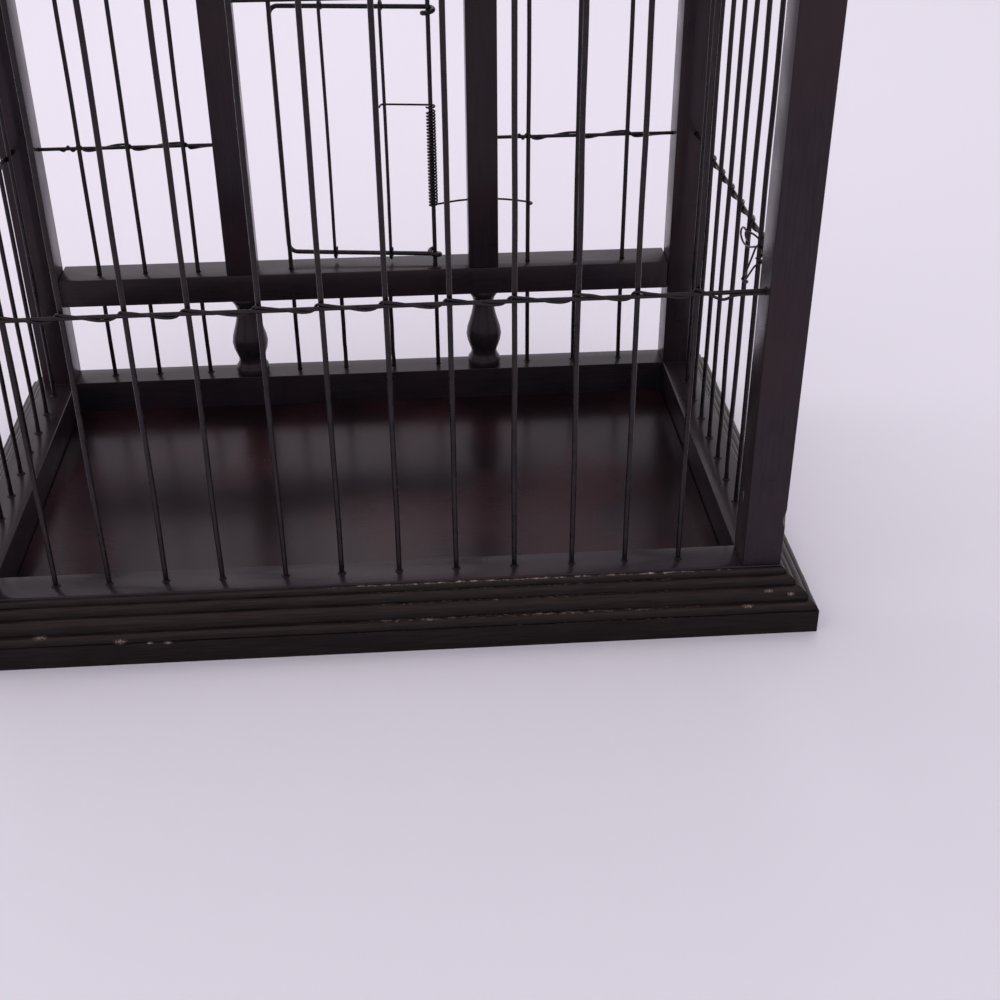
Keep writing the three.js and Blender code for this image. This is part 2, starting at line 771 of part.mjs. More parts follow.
const doorBarPlaces = doorBarShares.map((share) => freeEdge * (1 - share));
addPart('door_bar_free_side', bentWire(doorBarPoints(doorBarPlaces[0]), doorBarRadius, 6), darkWire, door);
addPart('door_bar_hinge_side', bentWire(doorBarPoints(doorBarPlaces[1]), doorBarRadius, 6), darkWire, door);

// The spring's coil and its fixed leg stay with the frame of the cage.
const springPitch = 2 * springWireRadius + springGap;
const springFoot = sillTop + springStart;
const legOutside = slimHalf + clearance + springWireRadius; // past the outer face of the stile
const anchorPlace = rightBayPlaces[0] - hingePlace;
const stileNearSide = stilePlaces[1] - slimHalf - hingePlace;
const stileFarSide = stilePlaces[1] + slimHalf - hingePlace;
const coilSteps = 8 * springCurls;
const coilPoints = turnPoints(
  vec(0, 0, springFoot),
  springLoop,
  65,
  65 + 360 * springCurls,
  springPitch * springCurls,
  coilSteps,
);
const springPoints = [
  ...turnPoints(vec(anchorPlace, 0, springFoot), springLoop, -120, 60, 0, 6),
  vec(stileFarSide + springLegBend, legOutside, springFoot),
  vec(stileNearSide - springLegBend, legOutside, springFoot),
  ...coilPoints,
];
const springLeastGap = leastOwnGap(coilPoints, springWireRadius, 2 * Math.PI * springLoop);
console.log(`door_spring: least gap to itself ${springLeastGap.toFixed(2)} mm`);
addPart(
  'door_spring',
  bentWire(springPoints, springWireRadius, 5).translate(hingeAxis.x, hingeAxis.y, 0),
  darkWire,
);

// The spring's arm turns with the door and bears on the bar next to the hinge.
const armHeight = springFoot + springPitch * (springCurls + 1.5);
const barLine = hingeLoop - hookRadius; // the bars stand just inside the frame
const armHook = doorBarRadius + clearance + springWireRadius;
const armPoints = [
  ...turnPoints(vec(0, 0, armHeight - springGap), springLoop, -170, 70, springGap, 8),
  ...[90, 135, 170].map((degrees) => {
    const angle = THREE.MathUtils.degToRad(degrees);
    return vec(doorBarPlaces[1] + armHook * Math.cos(angle), barLine + armHook * Math.sin(angle), armHeight);
  }),
  vec(doorBarPlaces[1] - armHook, barLine - springArmReach, armHeight),
];
addPart('door_spring_arm', bentWire(armPoints, springWireRadius, 5), darkWire, door);

// ---------------------------------------------------------------- hanging eye and ring

const eyeCentre = topRailTop + eyeStandoff + eyeRadius + eyeWireRadius;
const eyePoints = [
  vec(0, 0, topRailTop - eyeShank),
  vec(0, 0, topRailTop),
  vec(0, 0.1 * eyeRadius, eyeCentre - 1.06 * eyeRadius),
  ...Array.from({ length: 14 }, (_, step) => {
    const angle = THREE.MathUtils.degToRad(eyeOpening + (step / 13) * eyeTurn);
    return vec(0, eyeRadius * Math.cos(angle), eyeCentre + eyeRadius * Math.sin(angle));
  }),
];
addPart('hanging_eye', bentWire(eyePoints, eyeWireRadius, 8), darkWire);

// The ring hangs through the eye and lies over until it rests on the two roof wires beside
// it. It crosses them aslant, so its height over them is a little more than their clearance.
const halfPitch = longPitch / 2;
const pastCentre = Math.sqrt(ringRadius ** 2 - halfPitch ** 2);
const ringHeight = eyeCentre - roofHeight;
const squareGap = wireRadius + ringWireRadius + clearance;
const slant = (halfPitch / pastCentre) * ((ringHeight - squareGap) / (ringRadius + pastCentre));
const ringLean = Math.asin((ringHeight - squareGap * Math.hypot(1, slant)) / (ringRadius + pastCentre));
const ring = new THREE.TorusGeometry(ringRadius, ringWireRadius, 8, 32)
  .translate(0, ringRadius, 0)
  .rotateX(-ringLean)
  .translate(0, 0, eyeCentre);
addPart('hanging_ring', ring, darkWire);

export default cage;
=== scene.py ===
"""Looks of a small wood and wire bird cage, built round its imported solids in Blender 4.5.

The cage stands on a pale table. Everything is in metres in the solids' own frame: +X runs
along the plain long side, +Y points to the side with the door and +Z is up.
"""

import json
import logging
import math
import random
from collections.abc import Mapping, Sequence
from dataclasses import dataclass, field
from enum import Enum

import bmesh
import bpy
from mathutils import Matrix, Vector


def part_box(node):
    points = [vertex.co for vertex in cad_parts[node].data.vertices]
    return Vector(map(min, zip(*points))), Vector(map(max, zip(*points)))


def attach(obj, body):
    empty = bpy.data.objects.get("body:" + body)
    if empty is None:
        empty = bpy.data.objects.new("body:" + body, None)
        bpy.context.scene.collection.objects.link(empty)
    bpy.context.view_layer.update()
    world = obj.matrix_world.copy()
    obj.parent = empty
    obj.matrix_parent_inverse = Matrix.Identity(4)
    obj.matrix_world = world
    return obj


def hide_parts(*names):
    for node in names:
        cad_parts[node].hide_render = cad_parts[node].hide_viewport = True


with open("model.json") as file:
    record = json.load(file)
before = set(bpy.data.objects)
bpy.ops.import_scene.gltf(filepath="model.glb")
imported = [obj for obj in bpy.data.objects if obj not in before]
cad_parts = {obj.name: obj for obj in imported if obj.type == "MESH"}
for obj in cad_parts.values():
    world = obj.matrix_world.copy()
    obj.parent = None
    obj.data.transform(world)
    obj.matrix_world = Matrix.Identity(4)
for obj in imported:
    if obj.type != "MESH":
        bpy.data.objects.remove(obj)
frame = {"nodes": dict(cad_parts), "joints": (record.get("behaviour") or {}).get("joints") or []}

LOG = logging.getLogger("bird_cage")
MM = 0.001

# Bodies, as the record names them.
CAGE, DOOR, RING = "cage", "door", "ring"

PLAIN_WIRES = tuple(f"plain_wire_{rank:02d}" for rank in range(1, 13))

X, Y, Z = range(3)
SAME_PLACE = 0.001 * MM  # corners closer than this are one corner
SPLIT_CORNER = 0.002 * MM  # triangles of a node that meet have corners this close together
SAME_LEVEL = 0.05 * MM  # corners of one wire end lie this close to a plane
WIRE_APART = 3 * MM  # wires of a wall stand further apart than this
WIRE_TILT = 4 * MM  # a wire's two ends are less than this out of line


# ------------------------------------------------------------------ small tools


def linear(hex_code: str) -> tuple[float, float, float, float]:
    """Turns an sRGB hex colour into Blender's linear colour.

    Args:
        hex_code: A colour such as "#2a2325".

    Returns:
        Red, green, blue and an alpha of 1.
    """
    channels = [int(hex_code[start : start + 2], 16) / 255 for start in (1, 3, 5)]
    red, green, blue = (c / 12.92 if c <= 0.04045 else ((c + 0.055) / 1.055) ** 2.4 for c in channels)
    return red, green, blue, 1.0


def add_node(
    owner: bpy.types.Material | bpy.types.World,
    kind: str,
    settings: Mapping[str, object] | None = None,
    inputs: Mapping[str | int, object] | None = None,
    stops: Sequence[tuple[float, tuple[float, float, float, float]]] = (),
) -> bpy.types.ShaderNode:
    """Adds a shader node with its settings, values, links and colour stops.

    Args:
        owner: The material or the world that gets the node.
        kind: The node's type name.
        settings: Properties of the node.
        inputs: Values for its inputs, or output sockets that they are linked to.
        stops: Places and colours of a colour ramp's stops.

    Returns:
        The new node.
    """
    node = owner.node_tree.nodes.new(kind)
    for key, value in (settings or {}).items():
        setattr(node, key, value)
    for key, value in (inputs or {}).items():
        if isinstance(value, bpy.types.NodeSocket):
            owner.node_tree.links.new(value, node.inputs[key])
        else:
            node.inputs[key].default_value = value
    if stops:
        elements = node.color_ramp.elements
        while len(elements) > len(stops):
            elements.remove(elements[-1])
        while len(elements) < len(stops):
            elements.new(1.0)
        for element, (place, colour) in zip(elements, stops):
            element.position = place
            element.color = colour
    return node


def grey(level: float) -> tuple[float, float, float, float]:
    """Returns a neutral colour for a ramp that carries a plain value."""
    return level, level, level, 1.0


def new_material(name: str) -> bpy.types.Material:
    """Returns an empty node material with the given name."""
    material = bpy.data.materials.new(name)
    material.use_nodes = True
    material.node_tree.nodes.clear()
    return material


def pick(piece: bpy.types.Object) -> None:
    """Makes one object the only selected and the active one."""
    bpy.ops.object.select_all(action="DESELECT")
    piece.select_set(True)
    bpy.context.view_layer.objects.active = piece


def finish_piece(
    piece: bpy.types.Object,
    body: str,
    materials: Sequence[bpy.types.Material],
    replaces: Sequence[str] = (),
) -> bpy.types.Object:
    """Dresses a piece, ties it to its body and hides the nodes that it stands for.

    Args:
        piece: The finished mesh.
        body: The body that it rides on.
        materials: Its materials, in slot order.
        replaces: Names of the nodes that it stands for.

    Returns:
        The same piece.
    """
    faces = piece.data.polygons
    slots_of_faces = [face.material_index for face in faces]
    piece.data.materials.clear()
    for material in materials:
        piece.data.materials.append(material)
    for face, index in zip(faces, slots_of_faces):
        face.material_index = min(index, len(materials) - 1)
    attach(piece, body)
    if replaces:
        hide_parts(*replaces)
    LOG.info("%s: %d faces", piece.name, len(faces))
    return piece


def merged_copy(node: str, name: str) -> bpy.types.Object:
    """Copies a node's mesh with its loose triangles merged.

    Args:
        node: The node to copy.
        name: The new piece's name.

    Returns:
        A new object at the origin.
    """
    mesh = frame["nodes"][node].data.copy()
    mesh.materials.clear()
    piece = bpy.data.objects.new(name, mesh)
    bpy.context.scene.collection.objects.link(piece)
    pick(piece)
    bpy.ops.mesh.customdata_custom_splitnormals_clear()
    bpy.ops.object.mode_set(mode="EDIT")
    bpy.ops.mesh.select_all(action="SELECT")
    bpy.ops.mesh.remove_doubles(threshold=SPLIT_CORNER)
    bpy.ops.mesh.dissolve_limited(angle_limit=math.radians(0.5))
    bpy.ops.object.mode_set(mode="OBJECT")
    return piece


def wire_piece(
    name: str, paths: Sequence[Sequence[Vector]], radius: float, closed: bool = False
) -> bpy.types.Object:
    """Bends round wire along smooth paths.

    Args:
        name: The piece's name.
        paths: One list of points for each length of wire.
        radius: The wire's radius in metres.
        closed: Whether each path joins its own start.

    Returns:
        One mesh that holds every length.
    """
    curve = bpy.data.curves.new(name, "CURVE")
    curve.dimensions = "3D"
    curve.bevel_depth = radius
    curve.bevel_resolution = 3
    curve.resolution_u = 3
    curve.use_fill_caps = True
    for path in paths:
        spline = curve.splines.new("NURBS")
        spline.points.add(len(path) - 1)
        for point, place in zip(spline.points, path):
            point.co = (*place, 1.0)
        spline.order_u = min(3, len(path))
        spline.use_endpoint_u = not closed
        spline.use_cyclic_u = closed
    piece = bpy.data.objects.new(name, curve)
    bpy.context.scene.collection.objects.link(piece)
    pick(piece)
    bpy.ops.object.convert(target="MESH")
    piece = bpy.context.view_layer.objects.active
    piece.name = name
    bpy.ops.object.mode_set(mode="EDIT")
    bpy.ops.mesh.select_all(action="SELECT")
    bpy.ops.mesh.remove_doubles(threshold=SAME_PLACE)
    bpy.ops.mesh.normals_make_consistent(inside=False)
    bpy.ops.object.mode_set(mode="OBJECT")
    bpy.ops.object.shade_smooth_by_angle(angle=math.radians(50))
    return piece


def raise_outline(outline: Sequence[tuple[float, float]], axis: Vector) -> None:
    """Draws the selected disc up through a turned outline, in edit mode.

    Args:
        outline: Radius and height of each step in metres. The disc lies on the first.
        axis: A point on the upright axis.
    """
    for (below, bottom), (radius, height) in zip(outline, outline[1:]):
        bpy.ops.mesh.extrude_region_move(TRANSFORM_OT_translate={"value": (0, 0, height - bottom)})
        factor = radius / below
        middle = (axis.x, axis.y, height)
        bpy.ops.transform.resize(value=(factor, factor, 1.0), center_override=middle)
    bpy.ops.mesh.select_all(action="SELECT")
    bpy.ops.mesh.normals_make_consistent(inside=False)


@dataclass(frozen=True)
class Rod:
    """One straight wire of the solids: its two ends and its radius."""

    start: Vector
    end: Vector
    radius: float


def wire_ends(node: str, along: int, level: float) -> list[tuple[Vector, float]]:
    """Finds the round wire ends of a node that lie at one level.

    Args:
        node: The node's name.
        along: X, Y or Z, the axis that the wires run along.
        level: The ends' place on that axis, in metres.

    Returns:
        The centre and radius of each end.
    """
    rings: list[list[Vector]] = []
    for vertex in frame["nodes"][node].data.vertices:
        corner = vertex.co
        if abs(corner[along] - level) > SAME_LEVEL:
            continue
        near = [ring for ring in rings if (ring[0] - corner).length < WIRE_APART]
        if near:
            near[0].append(corner)
        else:
            rings.append([corner])
    ends = []
    for ring in rings:
        centre = (Vector(map(min, zip(*ring))) + Vector(map(max, zip(*ring)))) / 2
        centre[along] = level
        ends.append((centre, max((corner - centre).length for corner in ring)))
    return ends


def rods_of(node: str, along: int) -> list[Rod]:
    """Finds a node's straight wires from the rings of corners at their ends.

    A wire with no end at the low side starts straight below its high end.

    Args:
        node: The node's name.
        along: X, Y or Z, the axis that the wires run along.

    Returns:
        The wires, in the order of their places.
    """
    low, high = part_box(node)
    starts = wire_ends(node, along, low[along])
    rods = []
    for end, radius in wire_ends(node, along, high[along]):
        below = end.copy()
        below[along] = low[along]
        near = [start for start, _ in starts if (start - below).length < WIRE_TILT]
        rods.append(Rod(near[0] if near else below, end, radius))
    return sorted(rods, key=lambda rod: tuple(rod.start))


def hand_straightened(
    rod: Rod, chance: random.Random, kink: float, held: Sequence[float] = ()
) -> list[Vector]:
    """Gives a straight wire the small bends that hand work leaves in it.

    Args:
        rod: The wire.
        chance: The seeded source of the bends.
        kink: The furthest that a point may leave the line, in metres.
        held: Shares of the length at which the wire is held in place.

    Returns:
        Points along the wire.
    """
    line = rod.end - rod.start
    side = line.orthogonal().normalized()
    other = line.cross(side).normalized()
    shares = sorted({0.0, 0.03, 0.12, 0.25, 0.38, 0.62, 0.75, 0.88, 0.97, 1.0, *held})
    points = []
    for share in shares:
        free = 0.0 if share < 0.05 or share > 0.95 or share in held else kink
        shift = side * chance.uniform(-free, free) + other * chance.uniform(-free, free)
        points.append(rod.start + line * share + shift)
    return points


# ------------------------------------------------------------------ finishes


class Grain(Enum):
    """The way that a timber's grain runs, as how much finer it is across than along."""

    ALONG_X = (0.05, 1.0, 1.0)
    ALONG_Y = (1.0, 0.05, 1.0)
    ALONG_Z = (1.0, 1.0, 0.05)


@dataclass(frozen=True)
class StainedTimber:
    """Fine hardwood, planed, stained nearly black and varnished by brush.

    The stain hides all but a faint grain and is redder where it went on thin. The varnish
    gives a soft gloss that is duller where hands have worn it, with a slight ripple from the
    open pores.
    """

    name: str
    dark: str = "#1b181c"
    light: str = "#2a2429"
    thin: str = "#2c2024"
    grain_mm: float = 0.55
    cloud_mm: float = 14.0
    thin_mm: float = 30.0
    polish: tuple[float, float] = (0.24, 0.42)
    ripple_mm: float = 0.03
    gloss: float = 0.16
    gloss_colour: str = "#fad6e4"
    varnish: float = 0.2

    def material(self, grain: Grain) -> bpy.types.Material:
        """Builds the material.

        Args:
            grain: The way that the grain runs.

        Returns:
            A new material on Object coordinates.
        """
        made = new_material(f"{self.name}_{grain.name.lower()}")
        place = add_node(made, "ShaderNodeTexCoord").outputs["Object"]
        fine = [share / (self.grain_mm * MM) for share in grain.value]
        lines = add_node(made, "ShaderNodeMapping", inputs={"Vector": place, "Scale": fine})
        grain_noise = add_node(
            made,
            "ShaderNodeTexNoise",
            inputs={"Vector": lines.outputs[0], "Scale": 1.0, "Detail": 5.0, "Roughness": 0.62},
        )
        clouds = add_node(
            made,
            "ShaderNodeTexNoise",
            inputs={"Vector": place, "Scale": 1 / (self.cloud_mm * MM), "Detail": 3.0},
        )
        blend = add_node(
            made,
            "ShaderNodeMix",
            {"data_type": "FLOAT"},
            {0: 0.35, 2: grain_noise.outputs["Fac"], 3: clouds.outputs["Fac"]},
        )
        tone = add_node(
            made,
            "ShaderNodeValToRGB",
            inputs={"Fac": blend.outputs[0]},
            stops=[(0.36, linear(self.dark)), (0.66, linear(self.light))],
        )
        patches = add_node(
            made,
            "ShaderNodeTexNoise",
            inputs={"Vector": place, "Scale": 1 / (self.thin_mm * MM), "Detail": 4.0},
        )
        thinness = add_node(
            made,
            "ShaderNodeMapRange",
            inputs={"Value": patches.outputs["Fac"], 1: 0.46, 2: 0.64, 3: 0.0, 4: 0.75},
        )
        stain = add_node(
            made,
            "ShaderNodeMix",
            {"data_type": "RGBA"},
            {0: thinness.outputs[0], 6: tone.outputs[0], 7: linear(self.thin)},
        )
        sheen = add_node(
            made,
            "ShaderNodeMapRange",
            inputs={"Value": clouds.outputs["Fac"], 1: 0.3, 2: 0.7, 3: self.polish[0], 4: self.polish[1]},
        )
        bump = add_node(
            made,
            "ShaderNodeBump",
            inputs={"Height": grain_noise.outputs["Fac"], "Strength": 0.5, "Distance": self.ripple_mm * MM},
        )
        surface = add_node(
            made,
            "ShaderNodeBsdfPrincipled",
            inputs={
                "Base Color": stain.outputs[2],
                "Roughness": sheen.outputs[0],
                "Normal": bump.outputs[0],
                "IOR": 1.5,
                "Specular IOR Level": self.gloss,
                "Specular Tint": linear(self.gloss_colour),
                "Coat Weight": self.varnish,
                "Coat Roughness": 0.2,
            },
        )
        add_node(made, "ShaderNodeOutputMaterial", inputs={"Surface": surface.outputs[0]})
        return made


@dataclass(frozen=True)
class WornArris:
    """The rounded edges of the timber, where the varnish is rubbed through to paler stain."""

    name: str
    dark: str = "#1d191c"
    rubbed: str = "#393034"
    bare: str = "#6f5f58"
    patch_mm: float = 5.0
    amount: float = 0.4

    def material(self) -> bpy.types.Material:
        """Builds the material on Object coordinates."""
        made = new_material(self.name)
        place = add_node(made, "ShaderNodeTexCoord").outputs["Object"]
        patches = add_node(
            made,
            "ShaderNodeTexNoise",
            inputs={"Vector": place, "Scale": 1 / (self.patch_mm * MM), "Detail": 8.0, "Roughness": 0.7},
        )
        edge = 0.72 - 0.3 * self.amount
        tone = add_node(
            made,
            "ShaderNodeValToRGB",
            inputs={"Fac": patches.outputs["Fac"]},
            stops=[
                (edge - 0.14, linear(self.dark)),
                (edge, linear(self.rubbed)),
                (edge + 0.14, linear(self.bare)),
            ],
        )
        surface = add_node(
            made,
            "ShaderNodeBsdfPrincipled",
            inputs={"Base Color": tone.outputs[0], "Roughness": 0.42, "Specular IOR Level": 0.3},
        )
        add_node(made, "ShaderNodeOutputMaterial", inputs={"Surface": surface.outputs[0]})
        return made


@dataclass(frozen=True)
class ChippedMoulding:
    """Stained timber on a reeded moulding, chipped pale along the crests of its reeds. Its stain is darker
    than the other timber's: painted shade for the dim moulding.

    Each reed is paler towards its crest, partly as rubbing and partly as a painted highlight, and the
    groove at its foot stays dark as painted shade. Each crest has its height and its share of the wear.
    Most chips lie in one worn stretch, given by its ends along X, or in a few patches where no stretch is
    given. Each knock is a
    single pale mark: its place and its reach. Chips and knocks are longer along the moulding
    than across it.
    """

    name: str
    crests_mm: tuple[tuple[float, float], ...]
    stretch_mm: tuple[float, float] | None = None
    knocks_mm: tuple[tuple[float, float, float, float], ...] = ()
    # dark and light lie below the timber's own stain: painted shade for the dim moulding.
    dark: str = "#0f0a0b"
    light: str = "#1f1716"
    # Colour of the reed band: partly rubbed stain, partly painted highlight.
    rubbed: str = "#3b302c"
    chip: str = "#a3968c"
    scuff: str = "#54443f"
    grain_mm: float = 0.55
    crest_width_mm: float = 0.62
    crest_round_mm: float = 0.2
    chip_mm: float = 0.75
    chip_depth_mm: float = 0.12
    chip_squeeze: float = 0.45
    knock_edge_mm: float = 0.5
    zone_mm: float = 38.0
    stretch_fade_mm: float = 30.0

    def height_of_wear(self, made: bpy.types.Material, place: bpy.types.NodeSocket) -> bpy.types.NodeSocket:
        """Returns a crest's share of wear on each crest of the reeds, falling to 0 beside them."""
        height = add_node(made, "ShaderNodeSeparateXYZ", inputs={"Vector": place}).outputs["Z"]
        nearness = None
        for crest, share in self.crests_mm:
            away = add_node(
                made, "ShaderNodeMath", {"operation": "SUBTRACT"}, {0: height, 1: crest * MM}
            ).outputs[0]
            far = add_node(made, "ShaderNodeMath", {"operation": "ABSOLUTE"}, {0: away}).outputs[0]
            ridge = add_node(
                made,
                "ShaderNodeMapRange",
                inputs={"Value": far, 1: 0.0, 2: self.crest_width_mm * MM, 3: share, 4: 0.0},
            ).outputs[0]
            if nearness is None:
                nearness = ridge
            else:
                nearness = add_node(
                    made, "ShaderNodeMath", {"operation": "MAXIMUM"}, {0: nearness, 1: ridge}
                ).outputs[0]
        return nearness

    def reed_rub_and_highlight(self, made: bpy.types.Material, place: bpy.types.NodeSocket) -> bpy.types.NodeSocket:
        """Returns the paler band on each reed, partly rubbing and partly painted highlight: a value that
        climbs from the foot of each reed to its crest, so that the groove below stays dark as painted
        shade, and is 0 below the reeds.
        """
        height = add_node(made, "ShaderNodeSeparateXYZ", inputs={"Vector": place}).outputs["Z"]
        foot, top = self.crests_mm[0][0], self.crests_mm[-1][0] + self.crest_round_mm
        climb = add_node(
            made, "ShaderNodeMapRange", inputs={"Value": height, 1: foot * MM, 2: top * MM}
        ).outputs[0]
        stops = [(0.0, grey(0.0))]
        below = 0.0
        for crest, _ in self.crests_mm[1:]:
            share = (crest - foot) / (top - foot)
            stops += [
                ((below + share) / 2, grey(0.16)),
                (share - 0.02, grey(1.0)),
                (min(1.0, share + 0.01), grey(0.0)),
            ]
            below = share
        return add_node(made, "ShaderNodeValToRGB", inputs={"Fac": climb}, stops=stops).outputs[0]

    def worn_share(self, made: bpy.types.Material, place: bpy.types.NodeSocket) -> bpy.types.NodeSocket:
        """Returns 1 where the moulding is much worn and 0 where it is sound."""
        if self.stretch_mm is None:
            zones = add_node(
                made,
                "ShaderNodeTexNoise",
                inputs={"Vector": place, "Scale": 1 / (self.zone_mm * MM), "Detail": 1.0},
            )
            return add_node(
                made,
                "ShaderNodeMapRange",
                inputs={"Value": zones.outputs["Fac"], 1: 0.52, 2: 0.66, 3: 0.0, 4: 0.85},
            ).outputs[0]
        along = add_node(made, "ShaderNodeSeparateXYZ", inputs={"Vector": place}).outputs["X"]
        fade = self.stretch_fade_mm * MM
        first, last = (edge * MM for edge in self.stretch_mm)
        begun = add_node(
            made, "ShaderNodeMapRange", inputs={"Value": along, 1: first - fade, 2: first, 3: 0.0, 4: 1.0}
        )
        ended = add_node(
            made, "ShaderNodeMapRange", inputs={"Value": along, 1: last, 2: last + fade, 3: 1.0, 4: 0.0}
        )
        return add_node(
            made, "ShaderNodeMath", {"operation": "MULTIPLY"}, {0: begun.outputs[0], 1: ended.outputs[0]}
        ).outputs[0]

    def with_knocks(
        self, made: bpy.types.Material, place: bpy.types.NodeSocket, worn: bpy.types.NodeSocket
    ) -> bpy.types.NodeSocket:
        """Adds the single pale marks to the wear.

        Args:
            made: The material.
            place: Object coordinates.
            worn: The wear along the crests, from 0 to 1.

        Returns:
            The wear with the marks.
        """
        rough = add_node(
            made,
            "ShaderNodeTexNoise",
            inputs={"Vector": place, "Scale": 1 / (self.knock_edge_mm * MM), "Detail": 4.0},
        ).outputs["Fac"]
        squeeze = self.chip_squeeze
        squeezed = add_node(
            made, "ShaderNodeMapping", inputs={"Vector": place, "Scale": (squeeze, 1.0, 1.0)}
        )
        for x, y, z, reach in self.knocks_mm:
            away = add_node(
                made,
                "ShaderNodeVectorMath",
                {"operation": "DISTANCE"},
                {0: squeezed.outputs[0], 1: (x * squeeze * MM, y * MM, z * MM)},
            ).outputs["Value"]
            near = add_node(
                made,
                "ShaderNodeMapRange",
                inputs={"Value": away, 1: 0.0, 2: 2 * reach * MM, 3: 1.0, 4: -0.2},
            ).outputs[0]
            mark = add_node(
                made, "ShaderNodeMath", {"operation": "MULTIPLY", "use_clamp": True}, {0: near, 1: rough}
            ).outputs[0]
            edge = add_node(
                made, "ShaderNodeMapRange", inputs={"Value": mark, 1: 0.2, 2: 0.5, 3: 0.0, 4: 0.8}
            ).outputs[0]
            worn = add_node(made, "ShaderNodeMath", {"operation": "MAXIMUM"}, {0: worn, 1: edge}).outputs[0]
        return worn

    def material(self, grain: Grain) -> bpy.types.Material:
        """Builds the material.

        Args:
            grain: The way that the moulding runs.

        Returns:
            A new material on Object coordinates.
        """
        made = new_material(f"{self.name}_{grain.name.lower()}")
        place = add_node(made, "ShaderNodeTexCoord").outputs["Object"]
        fine = [share / (self.grain_mm * MM) for share in grain.value]
        lines = add_node(made, "ShaderNodeMapping", inputs={"Vector": place, "Scale": fine})
        grain_noise = add_node(
            made, "ShaderNodeTexNoise", inputs={"Vector": lines.outputs[0], "Scale": 1.0, "Detail": 5.0}
        )
        base = add_node(
            made,
            "ShaderNodeValToRGB",
            inputs={"Fac": grain_noise.outputs["Fac"]},
            stops=[(0.36, linear(self.dark)), (0.68, linear(self.light))],
        )
        # The reed band: paler upper faces as rubbing and painted highlight, darker grooves as painted
        # shade.
        rub_and_highlight_band = add_node(
            made,
            "ShaderNodeMath",
            {"operation": "MULTIPLY"},
            {0: self.reed_rub_and_highlight(made, place), 1: grain_noise.outputs["Fac"]},
        )
        rub_and_highlight_banded = add_node(
            made,
            "ShaderNodeMix",
            {"data_type": "RGBA"},
            {0: rub_and_highlight_band.outputs[0], 6: base.outputs[0], 7: linear(self.rubbed)},
        )
        chip_scale = [max(share, self.chip_squeeze) / (self.chip_mm * MM) for share in grain.value]
        chip_place = add_node(made, "ShaderNodeMapping", inputs={"Vector": place, "Scale": chip_scale})
        chips = add_node(
            made,
            "ShaderNodeTexNoise",
            inputs={"Vector": chip_place.outputs[0], "Scale": 1.0, "Detail": 6.0, "Roughness": 0.72},
        )
        spared = add_node(
            made,
            "ShaderNodeMapRange",
            inputs={"Value": self.worn_share(made, place), 1: 0.0, 2: 1.0, 3: -0.2, 4: 0.03},
        )
        raised = add_node(
            made, "ShaderNodeMath", {"operation": "ADD"}, {0: chips.outputs["Fac"], 1: spared.outputs[0]}
        )
        on_crest = add_node(
            made,
            "ShaderNodeMath",
            {"operation": "MULTIPLY"},
            {0: raised.outputs[0], 1: self.height_of_wear(made, place)},
        )
        crest_wear = add_node(
            made,
            "ShaderNodeValToRGB",
            inputs={"Fac": on_crest.outputs[0]},
            stops=[(0.47, grey(0.0)), (0.56, grey(0.35)), (0.66, grey(1.0))],
        )
        worn = self.with_knocks(made, place, crest_wear.outputs[0])
        pale = add_node(
            made,
            "ShaderNodeMix",
            {"data_type": "RGBA"},
            {0: worn, 6: linear(self.scuff), 7: linear(self.chip)},
        )
        colour = add_node(
            made,
            "ShaderNodeMix",
            {"data_type": "RGBA"},
            {0: worn, 6: rub_and_highlight_banded.outputs[2], 7: pale.outputs[2]},
        )
        sheen = add_node(
            made,
            "ShaderNodeMapRange",
            inputs={"Value": worn, 1: 0.0, 2: 1.0, 3: 0.36, 4: 0.7},
        )
        bump = add_node(
            made,
            "ShaderNodeBump",
            {"invert": True},
            {"Height": worn, "Strength": 0.6, "Distance": self.chip_depth_mm * MM},
        )
        surface = add_node(
            made,
            "ShaderNodeBsdfPrincipled",
            inputs={
                "Base Color": colour.outputs[2],
                "Roughness": sheen.outputs[0],
                "Normal": bump.outputs[0],
                "IOR": 1.5,
                "Specular IOR Level": 0.14,
            },
        )
        add_node(made, "ShaderNodeOutputMaterial", inputs={"Surface": surface.outputs[0]})
        return made


@dataclass(frozen=True)
class BareChip:
    """Wood laid bare where a chip is knocked out, browned again by years of dirt."""

    name: str = "old_chip"
    dark: str = "#3a2f2a"
    pale: str = "#978a80"
    fibre_mm: float = 0.25

    def material(self) -> bpy.types.Material:
        """Builds the material on Object coordinates."""
        made = new_material(self.name)
        place = add_node(made, "ShaderNodeTexCoord").outputs["Object"]
        fibres = add_node(
            made,
            "ShaderNodeTexNoise",
            inputs={"Vector": place, "Scale": 1 / (self.fibre_mm * MM), "Detail": 4.0, "Roughness": 0.7},
        )
        tone = add_node(
            made,
            "ShaderNodeValToRGB",
            inputs={"Fac": fibres.outputs["Fac"]},
            stops=[(0.4, linear(self.dark)), (0.62, linear(self.pale))],
        )
        surface = add_node(
            made,
            "ShaderNodeBsdfPrincipled",
            inputs={"Base Color": tone.outputs[0], "Roughness": 0.75, "Specular IOR Level": 0.25},
        )
        add_node(made, "ShaderNodeOutputMaterial", inputs={"Surface": surface.outputs[0]})
        return made


